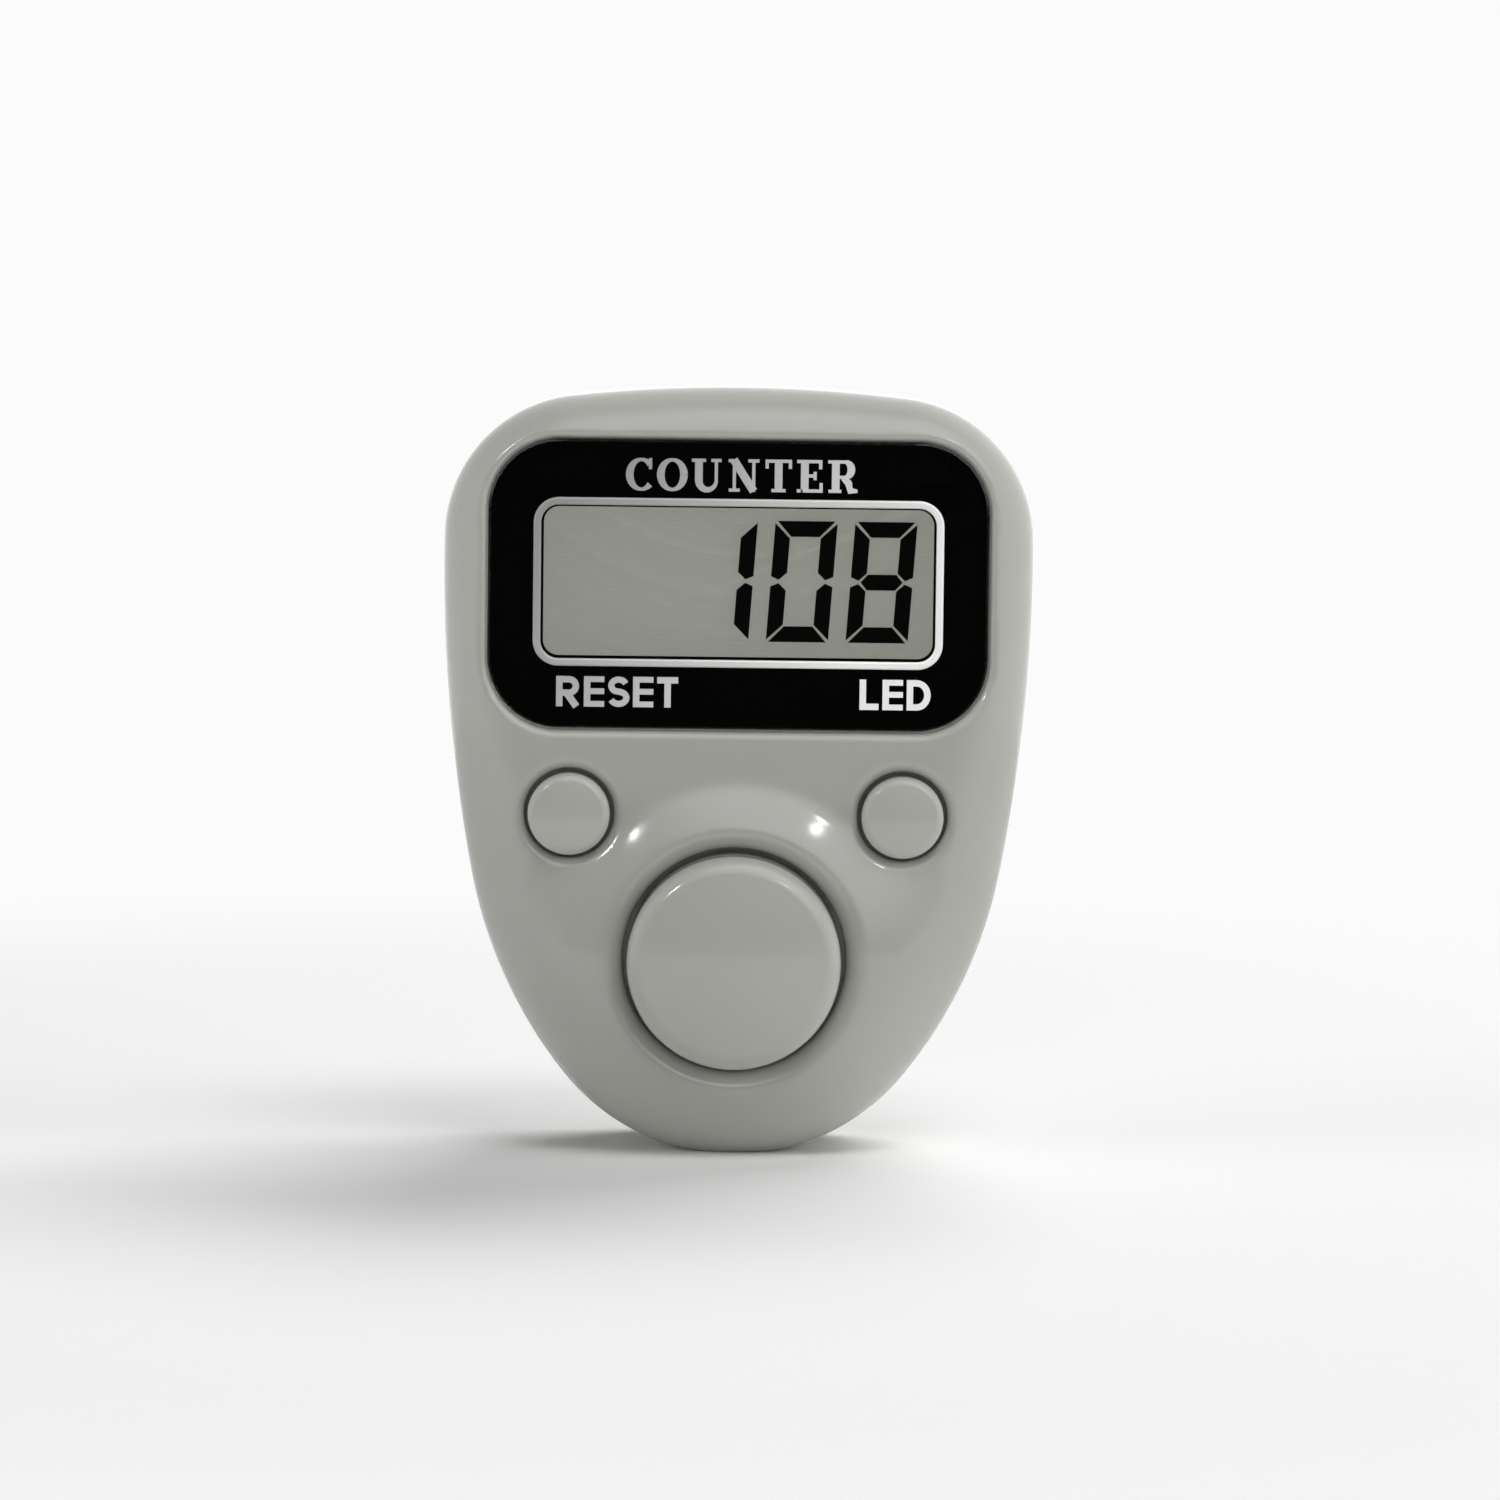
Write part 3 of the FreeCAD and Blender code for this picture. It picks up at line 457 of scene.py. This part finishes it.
def silver_ink(name):
    """Fine metal flakes in a clear binder, with a painted highlight: brighter towards the lower right."""
    n = Nodes(name)
    flakes = n.noise(24000.0, 2.0, 0.7)
    along = n.add("VectorMath", {0: n.place(), 1: INK_SLOPE}, operation="DOT_PRODUCT").outputs["Value"]
    span = {"Value": along, "From Min": INK_DARK_AT, "From Max": INK_BRIGHT_AT}
    turn = n.add("MapRange", span).outputs["Result"]
    late = n.add("Math", {0: turn, 1: INK_LAG}, operation="POWER").outputs[0]
    # painted highlight: the base colour itself goes from dark to bright along the slope
    painted_highlight_tone = n.mix(late, rgb(0.205, 0.205, 0.2), rgb(0.99, 0.99, 0.98))
    sparkle = n.mix(n.range(flakes, 0.0, 0.35), painted_highlight_tone, rgb(0.6, 0.6, 0.59))
    shader = n.add(
        "BsdfPrincipled",
        {
            "Base Color": sparkle,
            "Metallic": 0.25,
            "Roughness": n.range(flakes, 0.35, 0.5),
            "Normal": n.bump(flakes, 0.08, 0.00001),
        },
    )
    return n.finish(shader.outputs[0])


def film_with_painted_glow(name, colour, glow):
    """Matt pearly film with a painted glow: it emits some light of its own, though it is no lamp."""
    n = Nodes(name)
    pearl = n.noise(5000.0, 3.0, 0.6)
    tint = n.mix(pearl, rgb(*(c * 0.96 for c in colour)), rgb(*(c * 1.04 for c in colour)))
    shader = n.add(
        "BsdfPrincipled",
        {
            "Base Color": tint,
            "Roughness": n.range(pearl, 0.6, 0.75),
            "Specular IOR Level": 0.1,
            # painted glow: the film emits its own tint as light
            "Emission Color": tint,
            "Emission Strength": glow,
        },
    )
    return n.finish(shader.outputs[0])


MATERIALS = {
    "case_shell": moulded_plastic("case_shell", (0.42, 0.416, 0.387), 0.1),
    "button_cap": moulded_plastic("button_cap", (0.44, 0.436, 0.405), 0.11),
    "silicone": solid("silicone", (0.5, 0.5, 0.5), 0.5),
    "carbon_rubber": solid("carbon_rubber", (0.02, 0.02, 0.02), 0.7),
    "window_clear": clear_sheet("window_clear", (0.97, 0.975, 0.97)),
    "mask_black": solid("mask_black", (0.0012, 0.0012, 0.001), 0.6, contrast=0.2, gloss=0.0),
    # silver ink of the trim and the lettering, with its painted highlight towards the lower right
    "trim_silver": silver_ink("trim_silver"),
    "polarizer_film": clear_sheet("polarizer_film", (0.93, 0.95, 0.92), 1.2, 0.1),
    "lcd_glass": clear_sheet("lcd_glass", (0.97, 0.985, 0.97), 1.12),
    # the display film carries a painted glow that evens out its brightness
    "transflector_film": film_with_painted_glow("transflector_film", (0.325, 0.305, 0.3), 0.9),
    "guide_clear": solid("guide_clear", (0.8, 0.82, 0.82), 0.3),
    "zebra_rubber": solid("zebra_rubber", (0.3, 0.08, 0.08), 0.6),
    "board_laminate": solid("board_laminate", (0.02, 0.16, 0.06), 0.35, coat=0.4),
    "epoxy_black": solid("epoxy_black", (0.012, 0.012, 0.012), 0.25),
    "led_package": solid("led_package", (0.8, 0.8, 0.76), 0.4),
    "chip_black": solid("chip_black", (0.03, 0.03, 0.03), 0.5),
    "chip_tan": solid("chip_tan", (0.4, 0.27, 0.14), 0.5),
    "cell_steel": solid("cell_steel", (0.62, 0.61, 0.58), 0.22, metal=1.0, grain=9000.0),
    "cell_seal": solid("cell_seal", (0.7, 0.68, 0.62), 0.5),
    "contact_metal": solid("contact_metal", (0.7, 0.68, 0.6), 0.25, metal=1.0),
    "seal_rubber": solid("seal_rubber", (0.03, 0.03, 0.03), 0.6),
    "screw_steel": solid("screw_steel", (0.5, 0.5, 0.5), 0.3, metal=1.0),
}


CLEAR_SLOTS = ("window_clear", "polarizer_film", "lcd_glass")


def finish_cad_nodes():
    """Every CAD node gets the finish of its material slot."""
    for part in frame["record"]["subparts"]:
        node = frame["nodes"][part["node"]]
        node.data.materials.clear()
        node.data.materials.append(MATERIALS[part["material_slot"]])
        if part["material_slot"] in CLEAR_SLOTS:
            node.visible_shadow = node.visible_diffuse = False


def dress(obj, slot, body="case"):
    """Give a new piece its finish and the body that it rides on."""
    obj.data.materials.clear()
    obj.data.materials.append(MATERIALS[slot])
    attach(obj, body)


# ---------------------------------------------------------------- pieces


GRID_MARGIN = 0.3
GRID_FRONT_MARGIN = 0.6
GRID_BOTTOM_Z = -0.31  # off the grid's own steps, so that no grid point lies on the foot
GRID_STEP, QUICK_GRID_STEP = 0.2, 0.4


def build_front_case():
    """The front case again, as one quad mesh with softer transitions than the CAD's."""
    low = np.array([CASE_LOW[0] - GRID_MARGIN, CREST_Y - GRID_FRONT_MARGIN, GRID_BOTTOM_Z])
    high = np.array([CASE_HIGH[0] + GRID_MARGIN, PARTING_Y + GRID_MARGIN, CASE_HIGH[2] + GRID_MARGIN])
    step = GRID_STEP
    case = mesh_shape("front_case_shell", front_case_shape, low, high, step)
    dress(case, "case_shell")
    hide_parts("front_case")


STAGGER = 0.002  # overlapping outlines end at slightly different depths, so that none shares a face
STAGGER_LEVELS = 7


def flat_piece(name, outlines, y0, y1, slot):
    """Closed prisms between two depths; outlines are lists of (x, z) in millimetres."""
    vertices, faces = [], []
    for order, points in enumerate(outlines):
        n, base, front = len(points), len(vertices), y0 - STAGGER * (order % STAGGER_LEVELS)
        vertices += [(x * MM, front * MM, z * MM) for x, z in points]
        vertices += [(x * MM, y1 * MM, z * MM) for x, z in points]
        faces.append([base + i for i in range(n)])
        faces.append([base + n + i for i in reversed(range(n))])
        for i in range(n):
            j = (i + 1) % n
            faces.append([base + j, base + i, base + n + i, base + n + j])
    mesh = bpy.data.meshes.new(name)
    mesh.from_pydata(vertices, [], faces)
    mesh.validate()
    obj = bpy.data.objects.new(name, mesh)
    bpy.context.scene.collection.objects.link(obj)
    dress(obj, slot)


PRINT_THICK = 0.02
DIGIT_H, DIGIT_W, DIGIT_PITCH, STROKE = 6.0, 3.08, 3.95, 0.78
SEGMENT_GAP = 0.055
SLANT = tan(radians(4.0))
DIGIT_RIGHT = 8.62  # right edge of the last digit
SEGMENTS = {"0": "abcdef", "1": "bc", "8": "abcdefg"}


def segment_outline(kind):
    """One bar of an upright digit whose lower left corner is the origin."""
    w, h, s, g = DIGIT_W, DIGIT_H, STROKE, SEGMENT_GAP
    half, mid = s / 2, DIGIT_H / 2
    if kind == "a":
        return [(g * 2, h), (w - g * 2, h), (w - s - g, h - s), (s + g, h - s)]
    if kind == "d":
        return [(s + g, s), (w - s - g, s), (w - g * 2, 0), (g * 2, 0)]
    if kind == "g":
        return [
            (half + g * 2, mid),
            (s + g, mid + half),
            (w - s - g, mid + half),
            (w - half - g * 2, mid),
            (w - s - g, mid - half),
            (s + g, mid - half),
        ]
    upper_right = [
        (w, h - g * 2),
        (w, mid + half * 0.5 + g),
        (w - half, mid + g * 1.5),
        (w - s, mid + half + g),
        (w - s, h - s - g * 1.5),
    ]
    if kind in "fe":
        upper_right = [(w - x, z) for x, z in reversed(upper_right)]
    if kind in "ce":
        upper_right = [(x, h - z) for x, z in reversed(upper_right)]
    return upper_right


def build_digits():
    """The reading, 108, as thin bars on the rear glass."""
    low = LCD_MID_Z - DIGIT_H / 2
    outlines = []
    for place, digit in enumerate(reversed("108")):
        left = DIGIT_RIGHT - DIGIT_W - place * DIGIT_PITCH
        for kind in SEGMENTS[digit]:
            bar = segment_outline(kind)
            outlines.append([(left + x + (z - DIGIT_H / 2) * SLANT, low + z) for x, z in bar])
    flat_piece("lcd_digits", outlines, DIGITS_BACK_Y - PRINT_THICK, DIGITS_BACK_Y, "mask_black")


def arc_points(cx, cz, rx, rz, first, last, count=14):
    """Points along part of an ellipse; degrees from the right, turning upwards."""
    turn = [radians(first + (last - first) * i / (count - 1)) for i in range(count)]
    return [(cx + rx * cos(t), cz + rz * sin(t)) for t in turn]


def ribbon(points, thickness):
    """The outline of a stroke along a centre line; thickness is one number or one per point."""
    line = np.array(points, float)
    half = np.broadcast_to(np.array(thickness, float) / 2, len(line))[:, None]
    fresh = np.append(True, np.linalg.norm(np.diff(line, axis=0), axis=1) > 1e-6)
    line, half = line[fresh], half[fresh]
    step = np.diff(line, axis=0)
    step /= np.linalg.norm(step, axis=1)[:, None]
    across = np.stack([-step[:, 1], step[:, 0]], 1)
    before = np.vstack([across[:1], across])
    after = np.vstack([across, across[-1:]])
    mitre = before + after
    mitre /= np.maximum((mitre**2).sum(1) / 2, 0.6)[:, None]
    return [tuple(p) for p in line + mitre * half] + [tuple(p) for p in (line - mitre * half)[::-1]]


# Letters are drawn one unit high: a list of strokes (centre line, thickness), and the letter's width.
BOLD, STEM, THIN, SLAB = 0.21, 0.24, 0.10, 0.10
ROUND_COUNT, U_COUNT, R_COUNT = 30, 16, 14  # points along C and O, and along the bowls of U and R


def bold_letter(letter):
    """The letters under the display, without serifs."""
    t, h = BOLD, BOLD / 2
    if letter == "E":
        bars = [([(h, z), (0.66, z)], t * 0.9) for z in (h * 0.9, 0.51, 1 - h * 0.9)]
        return [([(h, 0), (h, 1)], t)] + bars, 0.66
    if letter == "L":
        return [([(h, 0), (h, 1)], t), ([(h, h), (0.62, h)], t)], 0.62
    if letter == "T":
        return [([(0, 1 - h), (0.68, 1 - h)], t), ([(0.34, 0), (0.34, 1 - h)], t)], 0.68
    if letter == "D":
        bowl = [(h, h), (0.33, h)] + arc_points(0.33, 0.5, 0.34, 0.5 - h, -90, 90) + [(h, 1 - h)]
        return [([(h, 0), (h, 1)], t), (bowl, t)], 0.775
    if letter == "R":
        bowl = [(h, 0.45), (0.42, 0.45)] + arc_points(0.42, 0.67, 0.22, 0.22, -90, 90) + [(h, 0.89)]
        return [([(h, 0), (h, 1)], t), (bowl, t), ([(0.36, 0.42), (0.66, 0.0)], t * 1.1)], 0.78
    spine = arc_points(0.345, 0.70, 0.24, 0.20, 20, 245) + arc_points(0.345, 0.30, 0.255, 0.20, 80, -160)
    return [(spine, t * 0.95)], 0.69


def slab_letter(letter):
    """The letters of the title, with square serifs."""
    t, n, s = STEM, THIN, SLAB

    def stem(x):
        return [([(x, 0.0), (x, 1.0)], t)]

    def serif(x, z, reach=0.22):
        return [([(x - reach, z), (x + reach, z)], s)]

    low, high = s / 2, 1 - s / 2
    if letter in "CO":
        sweep = (42, 318) if letter == "C" else (0, 360)
        line = arc_points(0.48, 0.5, 0.36, 0.455, *sweep, count=ROUND_COUNT)
        first, last = sweep
        turn = [radians(first + (last - first) * i / (ROUND_COUNT - 1)) for i in range(ROUND_COUNT)]
        weight = [n + (t - n) * abs(cos(angle)) ** 1.5 for angle in turn]
        tail = [([(0.76, 0.66), (0.76, 1.0)], s)] if letter == "C" else []
        return [(line, weight)] + tail, 0.86 if letter == "C" else 0.96
    if letter == "U":
        curve = arc_points(0.51, 0.34, 0.27, 0.29, 180, 360, U_COUNT)
        bowl = [(0.24, 0.9), (0.24, 0.36)] + curve + [(0.78, 0.36), (0.78, 0.9)]
        weight = [t, t] + [t + (n - t) * i / (U_COUNT - 1) for i in range(U_COUNT)] + [n, n]
        return [(bowl, weight)] + serif(0.24, high) + serif(0.78, high, 0.16), 1.0
    if letter == "N":
        thin = [([(0.24, 0), (0.24, 1)], n), ([(0.84, 0), (0.84, 1)], n)]
        slant = [([(0.22, 0.98), (0.84, 0.02)], t * 1.05)]
        return thin + slant + serif(0.24, low, 0.17) + serif(0.2, high, 0.14) + serif(0.84, high, 0.17), 1.06
    if letter == "T":
        tips = [([(0.09, 0.72), (0.09, 1)], s), ([(0.81, 0.72), (0.81, 1)], s)]
        return stem(0.45) + [([(0.04, high), (0.86, high)], s)] + tips + serif(0.45, low), 0.9
    if letter == "E":
        ends = ((0.2, low, 0.82, low), (0.2, high, 0.8, high), (0.3, 0.51, 0.6, 0.51))
        bars = [([(x0, z0), (x1, z1)], s) for x0, z0, x1, z1 in ends]
        ends = ((0.77, 0, 0.77, 0.3), (0.75, 0.72, 0.75, 1), (0.58, 0.38, 0.58, 0.64))
        tips = [([(x0, z0), (x1, z1)], s) for x0, z0, x1, z1 in ends]
        return stem(0.26) + bars + tips + serif(0.2, low, 0.18) + serif(0.2, high, 0.18), 0.86
    bowl = [(0.3, 0.48), (0.54, 0.48)] + arc_points(0.54, 0.715, 0.2, 0.235, -90, 90, R_COUNT)
    bowl += [(0.3, 0.95)]
    swell = [n + (t - n) * sin(pi * i / (R_COUNT - 1)) for i in range(R_COUNT)]
    weight = [n, n] + swell + [n]
    leg = [([(0.5, 0.47), (0.66, 0.3), (0.72, 0.06), (0.94, 0.06)], [t * 0.8, t * 0.9, t * 0.7, s])]
    return stem(0.26) + [(bowl, weight)] + leg + serif(0.24, low, 0.2) + serif(0.2, high, 0.18), 0.96


def lettering(name, words, height, middle_x, base_z, width, draw, gap):
    """Printed words: cap height and full width in millimetres, standing on base_z."""
    strokes, at = [], 0.0
    for letter in words:
        lines, advance = draw(letter)
        strokes += [([(x + at, z) for x, z in line], weight) for line, weight in lines]
        at += advance + gap
    stretch = width / (at - gap)
    outlines = []
    for line, weight in strokes:
        edge = ribbon(line, weight)
        outlines.append([(middle_x + x * stretch - width / 2, base_z + z * height) for x, z in edge])
    flat_piece(name, outlines, WINDOW_LOW[1] - PRINT_THICK, WINDOW_LOW[1], "trim_silver")


def build_lettering():
    """One generic word above the display, and the names of what the two small buttons do."""
    lettering("print_title", "COUNTER", 1.6, 0.12, 32.8, 11.4, slab_letter, 0.1)
    lettering("print_reset", "RESET", 1.5, -5.9, 22.15, 6.0, bold_letter, 0.12)
    lettering("print_light", "LED", 1.5, 7.77, 22.15, 3.5, bold_letter, 0.12)


# ---------------------------------------------------------------- stage, light and camera

DISTANCE = 300.0
ELEVATION = 4.5
ROLL = 0.7
FRAME_WIDTH = 75.1  # what the picture spans at the object, in millimetres
SENSOR = 36.0
AIM = Vector((0.67, 0.0, 19.7))


def aim(obj, at, roll=0.0):
    """Turn a light or the camera to face a point."""
    look = (Vector(at) - obj.location).to_track_quat("-Z", "Y").to_matrix().to_4x4()
    obj.matrix_world = Matrix.Translation(obj.location) @ look @ Matrix.Rotation(roll, 4, "Z")


def build_camera():
    data = bpy.data.cameras.new("camera")
    data.sensor_width = SENSOR
    data.lens = SENSOR * DISTANCE / FRAME_WIDTH
    data.clip_start, data.clip_end = 0.01, 20.0
    camera = bpy.data.objects.new("camera", data)
    bpy.context.scene.collection.objects.link(camera)
    back = Vector((0.0, -cos(radians(ELEVATION)), sin(radians(ELEVATION)))) * DISTANCE
    camera.location = (AIM + back) * MM
    aim(camera, AIM * MM, radians(ROLL))
    bpy.context.scene.camera = camera


LIGHT_DISTANCE = 1.2
# name, azimuth, elevation, (width, height), power, glint. One behind and three to the right throw the
# shadow, one in front and one on the left fill it, and two small ones are seen only as glints.
LIGHTS = (
    ("key_behind", 149.0, 47.0, (1.0, 0.5), 11.2, False),
    ("top_right", 30.0, 62.0, (0.6, 0.4), 3.8, False),
    ("right_side", 80.0, 22.0, (0.6, 0.5), 3.7, False),
    ("right_front", 48.0, 18.0, (0.7, 0.5), 1.5, False),
    ("front_soft", 0.0, 6.0, (0.8, 0.6), 2.1, False),
    ("left_fill", -72.0, 18.0, (0.8, 0.6), 3.6, False),
    ("glint_left", -33.0, 28.0, (0.1, 0.11), 2.1, True),
    ("glint_right", 25.0, 29.0, (0.06, 0.05), 0.42, True),
)


def area_light(name, azimuth, elevation, size, power, glint):
    """A softbox: azimuth is measured from the front, towards the right."""
    data = bpy.data.lights.new(name, "AREA")
    data.shape = "RECTANGLE"
    data.size, data.size_y = size
    data.energy = power
    light = bpy.data.objects.new(name, data)
    bpy.context.scene.collection.objects.link(light)
    a, e = radians(azimuth), radians(elevation)
    light.location = Vector((sin(a) * cos(e), -cos(a) * cos(e), sin(e))) * LIGHT_DISTANCE + AIM * MM
    aim(light, AIM * MM)
    light.visible_glossy = glint
    light.visible_diffuse = not glint


TABLE_WHITE = 0.965
SURROUND = 0.04  # even light from the room
# Reflections see a room that is dark behind the camera and bright at the sides and the back: these
# are the ends of that change along Y, as a share of a unit vector, and its two strengths.
DARK_TO_Y, BRIGHT_FROM_Y = -0.97, -0.45
DARK_FRONT, BRIGHT_SIDE = 0.02, 1.4
# They also see a broad soft glow above the camera. It starts and is full at these cosines from its middle.
GLOW_FROM = (0.25, -0.67, 0.70)
GLOW_EDGE, GLOW_FULL, TOP_GLOW = 0.72, 0.96, 2.0


def build_world():
    """A white backdrop for the camera, an even dim room for light, and another one for reflections."""
    world = bpy.data.worlds.new("studio")
    bpy.context.scene.world = world
    world.use_nodes = True
    world.cycles.sampling_method = "NONE"
    tree = world.node_tree
    tree.nodes.clear()

    def grey(value):
        node = tree.nodes.new("ShaderNodeBackground")
        node.inputs["Color"].default_value = rgb(value, value, value)
        return node

    def switch(fac, first, second):
        node = tree.nodes.new("ShaderNodeMixShader")
        tree.links.new(fac, node.inputs[0])
        tree.links.new(first.outputs[0], node.inputs[1])
        tree.links.new(second.outputs[0], node.inputs[2])
        return node

    def spread(from_min, from_max, to_min, to_max):
        node = tree.nodes.new("ShaderNodeMapRange")
        ends = (("From Min", from_min), ("From Max", from_max), ("To Min", to_min), ("To Max", to_max))
        for key, value in ends:
            node.inputs[key].default_value = value
        return node

    mirrored = grey(1.0)
    coords = tree.nodes.new("ShaderNodeTexCoord")
    split = tree.nodes.new("ShaderNodeSeparateXYZ")
    tree.links.new(coords.outputs["Generated"], split.inputs[0])
    side = spread(DARK_TO_Y, BRIGHT_FROM_Y, DARK_FRONT, BRIGHT_SIDE)
    tree.links.new(split.outputs[1], side.inputs["Value"])
    towards = tree.nodes.new("ShaderNodeVectorMath")
    towards.operation = "DOT_PRODUCT"
    towards.inputs[1].default_value = GLOW_FROM
    tree.links.new(coords.outputs["Generated"], towards.inputs[0])
    above = spread(GLOW_EDGE, GLOW_FULL, 0.0, TOP_GLOW)
    above.interpolation_type = "SMOOTHSTEP"
    tree.links.new(towards.outputs["Value"], above.inputs["Value"])
    both = tree.nodes.new("ShaderNodeMath")
    tree.links.new(above.outputs[0], both.inputs[0])
    tree.links.new(side.outputs[0], both.inputs[1])
    tree.links.new(both.outputs[0], mirrored.inputs["Strength"])
    ray = tree.nodes.new("ShaderNodeLightPath")
    unseen = switch(ray.outputs["Is Glossy Ray"], grey(SURROUND), mirrored)
    world_mix = switch(ray.outputs["Is Camera Ray"], unseen, grey(TABLE_WHITE))
    out = tree.nodes.new("ShaderNodeOutputWorld")
    tree.links.new(world_mix.outputs[0], out.inputs["Surface"])


DISC_SEGMENTS = 128
TABLE_NEAR_R, TABLE_FAR_R = 0.14, 8.0
TABLE_FADE_FROM, TABLE_FADE_TO = 0.07, 0.13


def disc(name, inner, outer):
    """A flat ring on z = 0, or a disc where inner is 0."""
    turn = [2 * pi * i / DISC_SEGMENTS for i in range(DISC_SEGMENTS)]
    vertices = [(outer * cos(a), outer * sin(a), 0.0) for a in turn]
    faces = [list(range(DISC_SEGMENTS))]
    if inner > 0:
        vertices += [(inner * cos(a), inner * sin(a), 0.0) for a in turn]
        nexts = [(i + 1) % DISC_SEGMENTS for i in range(DISC_SEGMENTS)]
        faces = [[i, j, DISC_SEGMENTS + j, DISC_SEGMENTS + i] for i, j in enumerate(nexts)]
    mesh = bpy.data.meshes.new(name)
    mesh.from_pydata(vertices, [], faces)
    obj = bpy.data.objects.new(name, mesh)
    bpy.context.scene.collection.objects.link(obj)
    return obj


def table_material():
    """Matt white near the object, melting into the evenly lit backdrop further out."""
    n = Nodes("table_white")
    grain = n.noise(600.0, 3.0)
    paper = n.mix(grain, rgb(0.925, 0.925, 0.925), rgb(0.935, 0.935, 0.935))
    matt = n.add("BsdfDiffuse", {"Color": paper})
    away = n.add("VectorMath", {0: n.place()}, operation="LENGTH").outputs["Value"]
    slope = {"Value": away, "From Min": TABLE_FADE_FROM, "From Max": TABLE_FADE_TO}
    fade = n.add("MapRange", slope, interpolation_type="SMOOTHSTEP").outputs["Result"]
    lit = n.add("Emission", {"Color": rgb(TABLE_WHITE, TABLE_WHITE, TABLE_WHITE)})
    return n.finish(n.join(fade, matt, lit).outputs[0])


def build_floor():
    """White table. Its far part isn't seen in reflections, so the window mirrors a dark room."""
    white = table_material()
    rings = (("table_near", 0.0, TABLE_NEAR_R), ("table_far", TABLE_NEAR_R, TABLE_FAR_R))
    for name, inner, outer in rings:
        table = disc(name, inner, outer)
        table.data.materials.append(white)
        table.visible_glossy = inner == 0.0


finish_cad_nodes()
build_front_case()
build_digits()
build_lettering()
build_camera()
for light_settings in LIGHTS:
    area_light(*light_settings)
build_world()
build_floor()
bpy.context.scene.view_settings.view_transform = "Standard"
